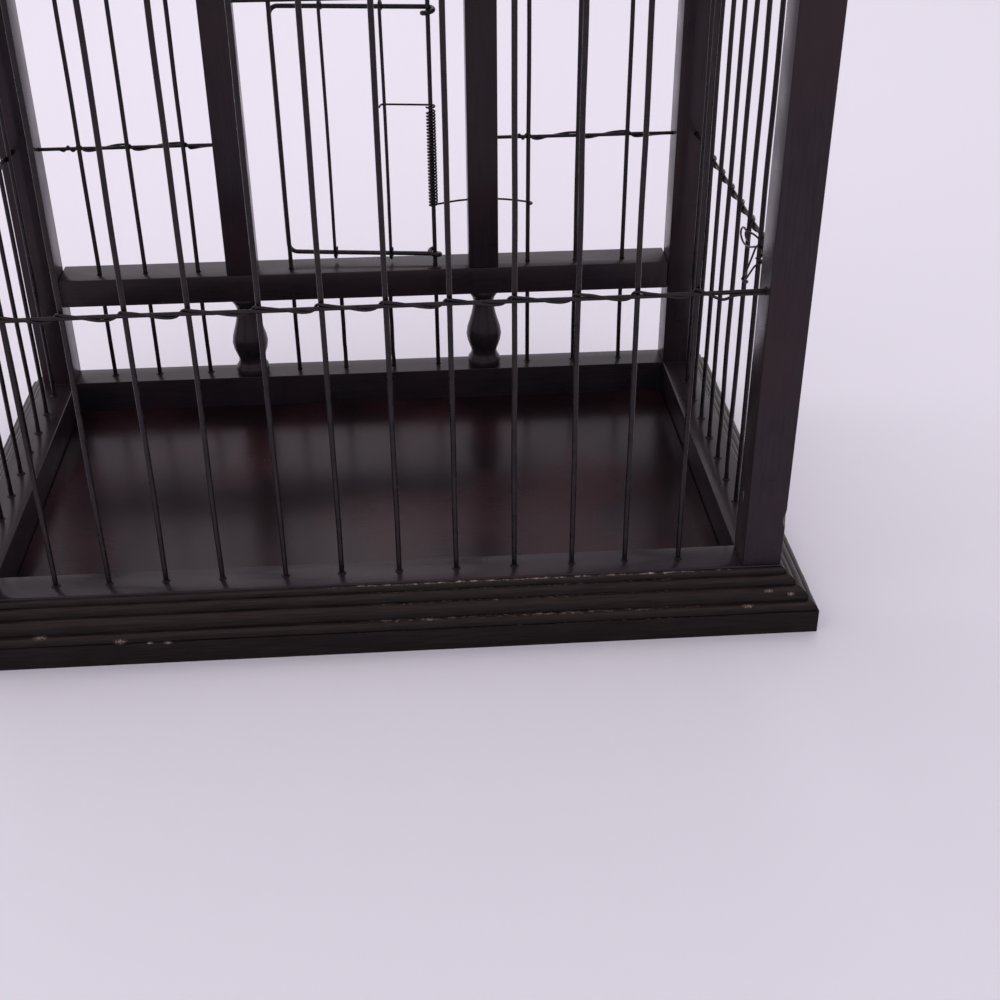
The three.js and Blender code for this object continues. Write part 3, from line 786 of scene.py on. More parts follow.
@dataclass(frozen=True)
class DarkCollarFinish:
    """A near-black, finely lumpy finish for the dark collar where a wire enters its hole."""

    name: str = "dark_collar"
    colour: str = "#0e0a0c"
    grain_mm: float = 0.3
    lump_mm: float = 0.08

    def material(self) -> bpy.types.Material:
        """Builds the material on Object coordinates."""
        made = new_material(self.name)
        place = add_node(made, "ShaderNodeTexCoord").outputs["Object"]
        lumps = add_node(
            made, "ShaderNodeTexNoise", inputs={"Vector": place, "Scale": 1 / (self.grain_mm * MM)}
        )
        bump = add_node(
            made,
            "ShaderNodeBump",
            inputs={"Height": lumps.outputs["Fac"], "Strength": 0.7, "Distance": self.lump_mm * MM},
        )
        surface = add_node(
            made,
            "ShaderNodeBsdfPrincipled",
            inputs={
                "Base Color": linear(self.colour),
                "Roughness": 0.5,
                "Specular IOR Level": 0.2,
                "Normal": bump.outputs[0],
            },
        )
        add_node(made, "ShaderNodeOutputMaterial", inputs={"Surface": surface.outputs[0]})
        return made


@dataclass(frozen=True)
class TarnishedIron:
    """Drawn iron wire, blackened by age, with brown rust in small patches."""

    name: str
    black: str = "#17131a"
    rust: str = "#2b2021"
    patch_mm: float = 3.5
    pit_mm: float = 0.4
    pit_depth_mm: float = 0.04

    def material(self) -> bpy.types.Material:
        """Builds the material on Object coordinates."""
        made = new_material(self.name)
        place = add_node(made, "ShaderNodeTexCoord").outputs["Object"]
        patches = add_node(
            made,
            "ShaderNodeTexNoise",
            inputs={"Vector": place, "Scale": 1 / (self.patch_mm * MM), "Detail": 6.0, "Roughness": 0.65},
        )
        tone = add_node(
            made,
            "ShaderNodeValToRGB",
            inputs={"Fac": patches.outputs["Fac"]},
            stops=[(0.4, linear(self.black)), (0.66, linear(self.rust))],
        )
        rough = add_node(
            made,
            "ShaderNodeMapRange",
            inputs={"Value": patches.outputs["Fac"], 1: 0.35, 2: 0.7, 3: 0.2, 4: 0.5},
        )
        pits = add_node(
            made, "ShaderNodeTexNoise", inputs={"Vector": place, "Scale": 1 / (self.pit_mm * MM)}
        )
        bump = add_node(
            made,
            "ShaderNodeBump",
            inputs={"Height": pits.outputs["Fac"], "Strength": 0.4, "Distance": self.pit_depth_mm * MM},
        )
        surface = add_node(
            made,
            "ShaderNodeBsdfPrincipled",
            inputs={
                "Base Color": tone.outputs[0],
                "Metallic": 0.5,
                "Specular IOR Level": 0.5,
                "Roughness": rough.outputs[0],
                "Normal": bump.outputs[0],
            },
        )
        add_node(made, "ShaderNodeOutputMaterial", inputs={"Surface": surface.outputs[0]})
        return made


@dataclass(frozen=True)
class Finishes:
    """Every finish of the cage, chosen in one place."""

    timber: StainedTimber = StainedTimber("stained_timber")
    floor: StainedTimber = StainedTimber(
        "stained_floor",
        dark="#140c0e",
        light="#21151a",
        thin="#341e21",
        grain_mm=0.8,
        cloud_mm=40.0,
        thin_mm=45.0,
        polish=(0.19, 0.28),
        gloss=0.13,
        varnish=0.11,
    )
    arris: WornArris = WornArris("worn_arris")
    chip: BareChip = BareChip()
    collar_finish: DarkCollarFinish = DarkCollarFinish()
    wire: TarnishedIron = TarnishedIron("tarnished_wire")


# ------------------------------------------------------------------ timber


def sharp_long_edges(piece: bpy.types.Object, shortest: float) -> None:
    """Selects, in edit mode, the square edges that are at least a certain length.

    Args:
        piece: The object in edit mode.
        shortest: The least length in metres.
    """
    shape = bmesh.from_edit_mesh(piece.data)
    for part in (shape.verts, shape.edges, shape.faces):
        for element in part:
            element.select = False
    for edge in shape.edges:
        square = len(edge.link_faces) == 2 and edge.calc_face_angle() > math.radians(60)
        edge.select_set(square and edge.calc_length() > shortest)
    bmesh.update_edit_mesh(piece.data)


@dataclass(frozen=True)
class Nick:
    """A flake knocked out of a timber: where it is, how large it is and how far it is turned."""

    node: str
    place_mm: tuple[float, float, float]
    size_mm: tuple[float, float, float]
    turn_deg: float = 0.0


@dataclass
class TimberFrame:
    """Posts, rails, stiles and the roof bar, with their arrises rounded by hand."""

    finishes: Finishes
    arris_mm: float = 0.45
    shortest_arris_mm: float = 5.0
    nicks: tuple[Nick, ...] = (
        Nick("corner_post_plain_right", (108.25, -67.6, 38.4), (0.55, 0.5, 2.4), 8.0),
        Nick("corner_post_plain_right", (120.2, -73.9, 33.6), (1.0, 1.0, 3.2), -6.0),
        Nick("corner_post_plain_left", (-108.4, -74.1, 61.0), (0.6, 0.5, 1.8), 12.0),
        Nick("corner_post_door_right", (120.1, 74.2, 120.0), (0.8, 0.7, 3.0), -9.0),
        Nick("corner_post_door_left", (-120.2, 74.1, 48.0), (0.9, 0.6, 2.4), 7.0),
        Nick("bottom_rail_plain_side", (37.0, -74.1, 28.9), (2.2, 0.6, 0.45)),
        Nick("top_rail_plain_side", (-52.0, -74.1, 198.9), (2.6, 0.5, 0.5)),
    )
    along_x: tuple[str, ...] = (
        "bottom_rail_plain_side",
        "bottom_rail_door_side",
        "top_rail_plain_side",
        "top_rail_door_side",
        "door_sill_rail",
        "roof_bar",
    )
    along_y: tuple[str, ...] = (
        "bottom_rail_left",
        "bottom_rail_right",
        "top_rail_left",
        "top_rail_right",
    )
    along_z: tuple[str, ...] = (
        "corner_post_plain_left",
        "corner_post_plain_right",
        "corner_post_door_left",
        "corner_post_door_right",
        "door_stile_left",
        "door_stile_right",
    )

    def round_arrises(self, node: str) -> bpy.types.Object:
        """Returns a copy of a timber with its long edges eased."""
        piece = merged_copy(node, f"eased_{node}")
        bpy.ops.object.mode_set(mode="EDIT")
        bpy.ops.mesh.select_mode(type="EDGE")
        sharp_long_edges(piece, self.shortest_arris_mm * MM)
        bpy.ops.mesh.bevel(offset=self.arris_mm * MM, segments=3, affect="EDGES", material=1)
        bpy.ops.mesh.select_all(action="SELECT")
        bpy.ops.mesh.remove_doubles(threshold=SAME_PLACE)
        bpy.ops.mesh.dissolve_degenerate(threshold=SAME_PLACE)
        bpy.ops.object.mode_set(mode="OBJECT")
        for nick in self.nicks:
            if nick.node == node:
                self.knock_out(piece, nick)
        bpy.ops.object.shade_smooth_by_angle(angle=math.radians(40))
        return piece

    @staticmethod
    def knock_out(piece: bpy.types.Object, nick: Nick) -> None:
        """Cuts one flake out of a timber and marks its faces for the bare wood.

        Args:
            piece: The timber.
            nick: The flake.
        """
        place = Vector(nick.place_mm) * MM
        bpy.ops.object.select_all(action="DESELECT")
        bpy.ops.mesh.primitive_ico_sphere_add(subdivisions=2, radius=1.0, location=place)
        flake = bpy.context.view_layer.objects.active
        bpy.ops.object.mode_set(mode="EDIT")
        bpy.ops.mesh.select_all(action="SELECT")
        bpy.ops.transform.resize(value=[size * MM for size in nick.size_mm], center_override=place)
        turn = math.radians(nick.turn_deg)
        bpy.ops.transform.rotate(value=turn, orient_axis="Y", center_override=place)
        ragged = 0.16 * min(nick.size_mm) * MM
        bpy.ops.transform.vertex_random(offset=ragged, seed=int(nick.size_mm[Z] * 10))
        bpy.ops.object.mode_set(mode="OBJECT")
        pick(piece)
        cut = piece.modifiers.new("nick", "BOOLEAN")
        cut.object = flake
        cut.operation = "DIFFERENCE"
        bpy.ops.object.modifier_apply(modifier=cut.name)
        bpy.data.objects.remove(flake)
        reach = max(nick.size_mm) * 1.2 * MM
        largest = 0.6 * MM * MM
        bare = 2
        for face in piece.data.polygons:
            slanted = max(abs(share) for share in face.normal) < 0.985
            if slanted and face.area < largest and (face.center - place).length < reach:
                face.material_index = bare

    def build(self) -> None:
        """Builds and dresses every straight timber."""
        arris = self.finishes.arris.material()
        chip = self.finishes.chip.material()
        for grain, nodes in (
            (Grain.ALONG_X, self.along_x),
            (Grain.ALONG_Y, self.along_y),
            (Grain.ALONG_Z, self.along_z),
        ):
            timber = self.finishes.timber.material(grain)
            for node in nodes:
                finish_piece(self.round_arrises(node), CAGE, (timber, arris, chip), (node,))


@dataclass
class BaseMoulding:
    """The four mitred lengths of reeded moulding, worn along their crests.

    The plain side's is much chipped to the right of its middle, where hands pull the cage.
    """

    finishes: Finishes
    worn_stretch_mm: tuple[float, float] = (4.0, 88.0)
    lengths: tuple[tuple[str, Grain], ...] = (
        ("base_moulding_plain_side", Grain.ALONG_X),
        ("base_moulding_door_side", Grain.ALONG_X),
        ("base_moulding_left", Grain.ALONG_Y),
        ("base_moulding_right", Grain.ALONG_Y),
    )
    slices: int = 110
    long_edge_mm: float = 100.0
    dent_mm: float = 0.14
    dent_reach_mm: float = 9.0
    plinth_mm: float = 6.5
    top_edge_mm: float = 0.01
    crests_mm: tuple[tuple[float, float], ...] = (
        (7.3, 0.86),
        (9.4, 1.0),
        (12.8, 0.94),
        (15.2, 0.9),
        (16.85, 1.12),
    )
    knocks_mm: tuple[tuple[float, float, float, float], ...] = (
        (109.0, -82.5, 9.2, 0.9),
        (115.6, -79.8, 12.3, 0.8),
        (122.0, -80.6, 11.5, 0.7),
        (-71.1, -83.6, 7.9, 1.0),
        (-93.5, -82.0, 9.2, 1.1),
        (-62.8, -84.0, 7.2, 0.6),
        (-57.8, -84.0, 7.0, 0.7),
    )

    def worn_length(self, node: str) -> bpy.types.Object:
        """Returns a moulding cut into short slices, with dents along its length."""
        piece = merged_copy(node, f"worn_{node}")
        bpy.ops.object.mode_set(mode="EDIT")
        bpy.ops.mesh.select_mode(type="EDGE")
        shape = bmesh.from_edit_mesh(piece.data)
        for edge in shape.edges:
            edge.select_set(edge.calc_length() > self.long_edge_mm * MM)
        bmesh.update_edit_mesh(piece.data)
        bpy.ops.mesh.subdivide(number_cuts=self.slices)
        bpy.ops.object.mode_set(mode="OBJECT")
        low = self.plinth_mm * MM
        high = max(vertex.co.z for vertex in piece.data.vertices) - self.top_edge_mm * MM
        reeds = [vertex.index for vertex in piece.data.vertices if low < vertex.co.z < high]
        group = piece.vertex_groups.new(name="reeds")
        group.add(reeds, 1.0, "REPLACE")
        knocks = bpy.data.textures.new(f"{node}_knocks", "CLOUDS")
        knocks.noise_scale = self.dent_reach_mm * MM
        knocks.contrast = 2.5
        dents = piece.modifiers.new("dents", "DISPLACE")
        dents.texture = knocks
        dents.texture_coords = "GLOBAL"
        dents.strength = -self.dent_mm * MM
        dents.mid_level = 0.35
        dents.vertex_group = group.name
        bpy.ops.object.modifier_apply(modifier=dents.name)
        bpy.ops.object.shade_smooth_by_angle(angle=math.radians(38))
        return piece

    def build(self) -> None:
        """Builds and dresses the four lengths."""
        for node, grain in self.lengths:
            plain = node == "base_moulding_plain_side"
            finish = ChippedMoulding(
                f"chipped_{node}",
                self.crests_mm,
                self.worn_stretch_mm if plain else None,
                self.knocks_mm if plain else (),
            )
            finish_piece(self.worn_length(node), CAGE, (finish.material(grain),), (node,))


@dataclass
class TurnedSpindles:
    """The two vase-shaped spindles under the sill, turned on a lathe."""

    finishes: Finishes
    nodes: tuple[str, ...] = ("sill_spindle_left", "sill_spindle_right")
    sides: int = 48
    level_mm: float = 0.01

    def outline(self, node: str) -> list[tuple[float, float]]:
        """Reads the turned outline from a node.

        Args:
            node: A spindle's node.

        Returns:
            Radius and height of each step, from the bottom up.
        """
        low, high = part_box(node)
        axis = (low + high) / 2
        rings: dict[int, float] = {}
        for vertex in frame["nodes"][node].data.vertices:
            level = round(vertex.co.z / (self.level_mm * MM))
            reach = math.hypot(vertex.co.x - axis.x, vertex.co.y - axis.y)
            rings[level] = max(rings.get(level, 0.0), reach)
        return [(rings[level], level * self.level_mm * MM) for level in sorted(rings)]

    def build(self) -> None:
        """Spins and dresses both spindles."""
        timber = self.finishes.timber.material(Grain.ALONG_Z)
        for node in self.nodes:
            low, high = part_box(node)
            axis = (low + high) / 2
            outline = self.outline(node)
            foot, base = outline[0]
            bpy.ops.object.select_all(action="DESELECT")
            bpy.ops.mesh.primitive_circle_add(vertices=self.sides, radius=foot, fill_type="NGON")
            piece = bpy.context.view_layer.objects.active
            piece.name = f"turned_{node}"
            bpy.ops.object.mode_set(mode="EDIT")
            bpy.ops.mesh.select_all(action="SELECT")
            bpy.ops.transform.translate(value=(axis.x, axis.y, base))
            raise_outline(outline, axis)
            bpy.ops.object.mode_set(mode="OBJECT")
            bpy.ops.object.shade_smooth_by_angle(angle=math.radians(50))
            finish_piece(piece, CAGE, (timber,), (node,))


@dataclass
class FloorBoard:
    """The stained board that the birds stand on."""

    finishes: Finishes

    def build(self) -> None:
        """Dresses the floor board's own node."""
        node = frame["nodes"]["floor_board"]
        node.data.materials.clear()
        node.data.materials.append(self.finishes.floor.material(Grain.ALONG_X))


# ------------------------------------------------------------------ wire work


@dataclass
class WireWalls:
    """The straight wires of the walls and the roof, cut and straightened by hand."""

    finishes: Finishes
    kink_mm: float = 0.22
    seed: int = 7
    single_wires: tuple[str, ...] = (
        *PLAIN_WIRES,
        "under_sill_wire_left",
        "under_sill_wire_right",
        "latch_wire",
        "hinge_wire",
    )
    grilles: tuple[tuple[str, int, int], ...] = (
        ("end_grille_left", Z, Y),
        ("end_grille_right", Z, Y),
        ("bay_grille_left", Z, X),
        ("bay_grille_right", Z, X),
        ("roof_grille", Y, X),
    )

    def build(self) -> None:
        """Builds and dresses every straight wire."""
        iron = self.finishes.wire.material()
        chance = random.Random(self.seed)
        kink = self.kink_mm * MM
        for node in self.single_wires:
            (rod,) = rods_of(node, Z)
            still = 0.0 if node == "hinge_wire" else kink
            path = hand_straightened(rod, chance, still, (0.5,))
            piece = wire_piece(f"drawn_{node}", [path], rod.radius)
            finish_piece(piece, CAGE, (iron,), (node,))
        (cross,) = rods_of("cross_wire_plain_side", X)
        path = hand_straightened(cross, chance, kink)
        piece = wire_piece("drawn_cross_wire_plain_side", [path], cross.radius)
        finish_piece(piece, CAGE, (iron,), ("cross_wire_plain_side",))
        for node, upright, across in self.grilles:
            rods = rods_of(node, upright)
            ties = rods_of(node, across)
            rod_paths = [hand_straightened(rod, chance, kink, (0.5,)) for rod in rods]
            bars = wire_piece(f"drawn_{node}", rod_paths, rods[0].radius)
            tie_paths = [hand_straightened(tie, chance, kink / 2) for tie in ties]
            binders = wire_piece(f"drawn_{node}_ties", tie_paths, ties[0].radius)
            finish_piece(bars, CAGE, (iron,), (node,))
            finish_piece(binders, CAGE, (iron,))
        self.build_door_head(iron)

    def build_door_head(self, iron: bpy.types.Material) -> None:
        """Builds the wire over the door and the short wires that rise from it."""
        (head,) = rods_of("door_head_grille", X)
        shorts = rods_of("door_head_grille", Z)
        middle = (head.start + head.end) / 2
        bar = wire_piece("drawn_door_head_wire", [[head.start, middle, head.end]], head.radius)
        finish_piece(bar, CAGE, (iron,))
        paths = []
        for rod in shorts:
            foot = Vector((rod.start.x, rod.start.y, head.start.z - head.radius))
            paths.append([foot, (foot + rod.end) / 2, rod.end])
        piece = wire_piece("drawn_over_door_wires", paths, shorts[0].radius)
        finish_piece(piece, CAGE, (iron,), ("door_head_grille",))


@dataclass
class Binding:
    """One wall's thin binding wire, wound once round the cross wire for each upright.

    It crosses an upright's outer side over the cross wire, slants down across the cross wire,
    lies along its underside and climbs behind it at the next upright. The steps of a turn are
    pairs of a share of the pitch and the degrees from the top of the cross wire over its outer
    side. The steps of a tail are a share of the way to its post, the degrees, and how far the
    wire stands off there in mm. The first tail comes out of its post with the cross wire.

    The slack is the most that the wire stands off the cross wire, as a share of their reach.
    The slip, a share of the pitch, and the twist are the most that a turn is out of place.
    """

    node: str
    uprights: Sequence[Vector]
    cross: Rod
    along: Vector
    outward: Vector
    last_tail: Sequence[tuple[float, float, float]]
    wire_mm: float = 0.4
    sunk_mm: float = 3.4
    last_pitch_mm: float = 12.0
    slack: float = 0.04
    slip: float = 0.03
    twist_deg: float = 7.0
    turn: tuple[tuple[float, float], ...] = (
        (-0.1, -100),
        (-0.07, -55),
        (-0.03, -12),
        (0.05, 14),
        (0.2, 40),
        (0.4, 76),
        (0.58, 118),
        (0.72, 160),
        (0.84, 205),
    )
    first_tail: tuple[tuple[float, float, float], ...] = (
        (-1.0, 118, 0),
        (-0.7, 122, 0),
        (-0.4, 150, 0),
        (-0.2, 195, 0),
    )

    def path(self, chance: random.Random) -> list[Vector]:
        """Works out the wire's path from the places of the uprights.

        Args:
            chance: The seeded source of small differences between the turns.

        Returns:
            Points along the binding wire.
        """
        line = (self.cross.end - self.cross.start).normalized()
        if line.dot(self.along) < 0:
            line = -line
        base = self.cross.start - line * (self.cross.start.dot(self.along) / line.dot(self.along))
        reach = self.cross.radius + self.wire_mm * MM

        def point(place: float, degrees: float, sag_mm: float = 0.0) -> Vector:
            angle = math.radians(degrees)
            aside = Vector((0, 0, math.cos(angle))) + self.outward * math.sin(angle)
            off = reach * chance.uniform(1.0, 1.0 + self.slack) + sag_mm * MM
            return base + line * place + aside * off

        places = sorted(upright.dot(self.along) for upright in self.uprights)
        posts = sorted((self.cross.start.dot(self.along), self.cross.end.dot(self.along)))
        lead = places[0] - posts[0] - self.sunk_mm * MM
        tail = posts[1] - places[-1] - self.sunk_mm * MM
        first, last = places[0], places[-1]
        points = [point(first + share * lead, degrees, sag) for share, degrees, sag in self.first_tail]
        for here, after in zip(places, places[1:]):
            slip = chance.uniform(-self.slip, self.slip)
            for share, degrees in self.turn:
                moved = 0.0 if share < 0.1 else slip
                twisted = degrees + chance.uniform(-self.twist_deg, self.twist_deg)
                points.append(point(here + (share + moved) * (after - here), twisted))
        for share, degrees in self.turn[:3]:
            points.append(point(last + share * self.last_pitch_mm * MM, degrees))
        points += [point(last + share * tail, degrees, sag) for share, degrees, sag in self.last_tail]
        return points


@dataclass
class LooseTie:
    """A stray length of binding wire on the right wall.

    It draws two uprights together in a narrow V under the cross wire, and its end curls in
    loose loops on the inside, above the V. The steps are places along Y and Z, and the
    side of the wires that they pass, where 1 is outside and -1 is inside.
    """

    finishes: Finishes
    wire_mm: float = 0.3
    wall_wire_mm: float = 0.75
    steps: tuple[tuple[float, float, float], ...] = (
        (-39.4, 102.0, 0.3),
        (-38.6, 102.4, 1.1),
        (-37.2, 102.6, 0.3),
        (-37.6, 102.2, -0.9),
        (-36.0, 99.6, -1.0),
        (-30.6, 92.4, -1.0),
        (-25.6, 87.4, -1.0),
        (-23.6, 86.4, -0.7),
        (-23.2, 86.0, 0.5),
        (-24.6, 85.8, 1.1),
        (-25.6, 85.9, 0.2),
        (-25.8, 86.2, -0.9),
        (-30.0, 89.0, -1.0),
        (-36.8, 95.2, -1.0),
        (-38.9, 97.0, -0.9),
        (-39.5, 97.5, 0.2),
        (-38.2, 97.9, 1.1),
        (-37.0, 98.2, 0.2),
        (-38.0, 98.8, -1.0),
        (-39.5, 99.4, 0.2),
        (-38.2, 100.0, 1.2),
        (-36.4, 102.6, 1.0),
        (-33.6, 103.8, -0.2),
        (-30.4, 103.6, -1.2),
        (-26.2, 102.6, -1.2),
        (-25.2, 101.2, -1.2),
        (-28.0, 100.2, -1.3),
        (-31.4, 101.4, -1.4),
        (-30.2, 103.2, -1.7),
        (-26.0, 103.6, -1.8),
        (-22.8, 102.2, -1.7),
        (-21.4, 100.4, -1.6),
        (-22.0, 99.1, -1.5),
        (-25.2, 98.2, -1.4),
        (-31.2, 99.4, -1.3),
        (-36.6, 101.6, -1.1),
        (-39.4, 102.8, -0.6),
    )

    def build(self) -> None:
        """Bends and dresses the stray wire."""
        (upright, *_) = rods_of("end_grille_right", Z)
        plane = upright.start.x
        clear = (self.wire_mm + self.wall_wire_mm) * MM
        path = [Vector((plane + side * clear, y * MM, z * MM)) for y, z, side in self.steps]
        piece = wire_piece("loose_tie", [path], self.wire_mm * MM)
        finish_piece(piece, CAGE, (self.finishes.wire.material(),))


@dataclass
class DarkCollars:
    """The dark collars round the walls' wires where they enter the timber."""

    finishes: Finishes
    profile_mm: tuple[tuple[float, float], ...] = (
        (1.35, -0.1),
        (1.3, 0.08),
        (1.12, 0.26),
        (0.86, 0.42),
        (0.7, 0.5),
    )
    sides: int = 14
    lump_mm: float = 0.07
    sill_holes_mm: float = 6.0
    seed: int = 23

    def one_dark_collar(self) -> bpy.types.Object:
        """Returns a low uneven collar, standing on the origin."""
        outline = [(radius * MM, height * MM) for radius, height in self.profile_mm]
        foot, base = outline[0]
        bpy.ops.object.select_all(action="DESELECT")
        bpy.ops.mesh.primitive_circle_add(
            vertices=self.sides, radius=foot, fill_type="NGON", location=(0, 0, base)
        )
        collar_piece = bpy.context.view_layer.objects.active
        bpy.ops.object.transform_apply(location=True, rotation=True, scale=True)
        bpy.ops.object.mode_set(mode="EDIT")
        bpy.ops.mesh.select_all(action="SELECT")
        raise_outline(outline, Vector())
        bpy.ops.transform.vertex_random(offset=self.lump_mm * MM, seed=self.seed)
        bpy.ops.object.mode_set(mode="OBJECT")
        bpy.ops.object.shade_smooth()
        return collar_piece

    def places(self) -> list[tuple[Vector, Matrix]]:
        """Returns where each collar stands and which way it faces.

        A bay's wire stands in the sill rail where it starts close under the rail's top, and in
        the bottom rail otherwise.
        """
        upward = Matrix.Identity(4)
        found = []
        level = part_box("bottom_rail_plain_side")[1].z
        for node in PLAIN_WIRES:
            (rod,) = rods_of(node, Z)
            found.append((Vector((rod.start.x, rod.start.y, level)), upward))
        for side in ("left", "right"):
            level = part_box(f"bottom_rail_{side}")[1].z
            for rod in rods_of(f"end_grille_{side}", Z):
                found.append((Vector((rod.start.x, rod.start.y, level)), upward))
        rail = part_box("bottom_rail_door_side")[1].z
        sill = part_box("door_sill_rail")[1].z
        for side in ("left", "right"):
            for rod in rods_of(f"bay_grille_{side}", Z):
                level = sill if rod.start.z > sill - self.sill_holes_mm * MM else rail
                found.append((Vector((rod.start.x, rod.start.y, level)), upward))
        (cross,) = rods_of("cross_wire_plain_side", X)
        line = (cross.end - cross.start).normalized()
        for node, facing in (("corner_post_plain_left", 1), ("corner_post_plain_right", -1)):
            low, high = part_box(node)
            face = high.x if facing > 0 else low.x
            place = cross.start + line * ((face - cross.start.x) / line.x)
            found.append((place, Matrix.Rotation(math.radians(90 * facing), 4, "Y")))
        return found

    def build(self) -> None:
        """Copies the collar to each place, no two alike, and dresses them as one piece."""
        chance = random.Random(self.seed)
        first = self.one_dark_collar()
        copies = []
        for place, facing in self.places():
            copy = first.copy()
            copy.data = first.data.copy()
            bpy.context.scene.collection.objects.link(copy)
            spin = Matrix.Rotation(chance.uniform(0, 6.28), 4, "Z")
            width, depth = chance.uniform(0.86, 1.1), chance.uniform(0.86, 1.1)
            size = Matrix.Diagonal((width, depth, chance.uniform(0.7, 1.3), 1))
            copy.data.transform(Matrix.Translation(place) @ facing @ spin @ size)
            copies.append(copy)
        bpy.data.objects.remove(first)
        pick(copies[0])
        for copy in copies:
            copy.select_set(True)
        bpy.ops.object.join()
        collar_pieces = bpy.context.view_layer.objects.active
        collar_pieces.name = "dark_collars"
        # A near-black collar stands round the foot of each wire.
        finish_piece(collar_pieces, CAGE, (self.finishes.collar_finish.material(),))


@dataclass
class Bindings:
    """The binding wires of every wall.

    The plain side's runs on to its post under the cross wire and sags on the way. The others
    end in nearly two tight turns.
    """

    finishes: Finishes
    seed: int = 11
    sagging_tail: tuple[tuple[float, float, float], ...] = (
        (0.03, 25, 0),
        (0.1, 75, 0),
        (0.19, 118, 0.1),
        (0.27, 128, 0.7),
        (0.34, 134, 1.1),
        (0.41, 130, 0.9),
        (0.48, 122, 0.3),
        (0.58, 117, 0),
        (0.72, 115, 0),
        (0.86, 113, 0),
        (1.0, 112, 0),
    )
    tight_tail: tuple[tuple[float, float, float], ...] = tuple(
        (0.05 + 0.055 * step, 30.0 + 85.0 * step, 0.0) for step in range(8)
    )

    def build(self) -> None:
        """Winds and dresses the five binding wires."""
        iron = self.finishes.wire.material()
        chance = random.Random(self.seed)
        (plain_cross,) = rods_of("cross_wire_plain_side", X)
        plain = [rods_of(node, Z)[0].start for node in PLAIN_WIRES]
        east, north = Vector((1, 0, 0)), Vector((0, 1, 0))
        walls = [Binding("binding_plain_side", plain, plain_cross, east, -north, self.sagging_tail)]
        for node, source, along, outward, axis in (
            ("binding_right", "end_grille_right", north, east, Y),
            ("binding_left", "end_grille_left", -north, -east, Y),
            ("binding_bay_left", "bay_grille_left", -east, north, X),
            ("binding_bay_right", "bay_grille_right", -east, north, X),
        ):
            (cross,) = rods_of(source, axis)
            uprights = [rod.start for rod in rods_of(source, Z)]
            walls.append(Binding(node, uprights, cross, along, outward, self.tight_tail))
        for wall in walls:
            piece = wire_piece(f"wound_{wall.node}", [wall.path(chance)], wall.wire_mm * MM)
            finish_piece(piece, CAGE, (iron,), (wall.node,))


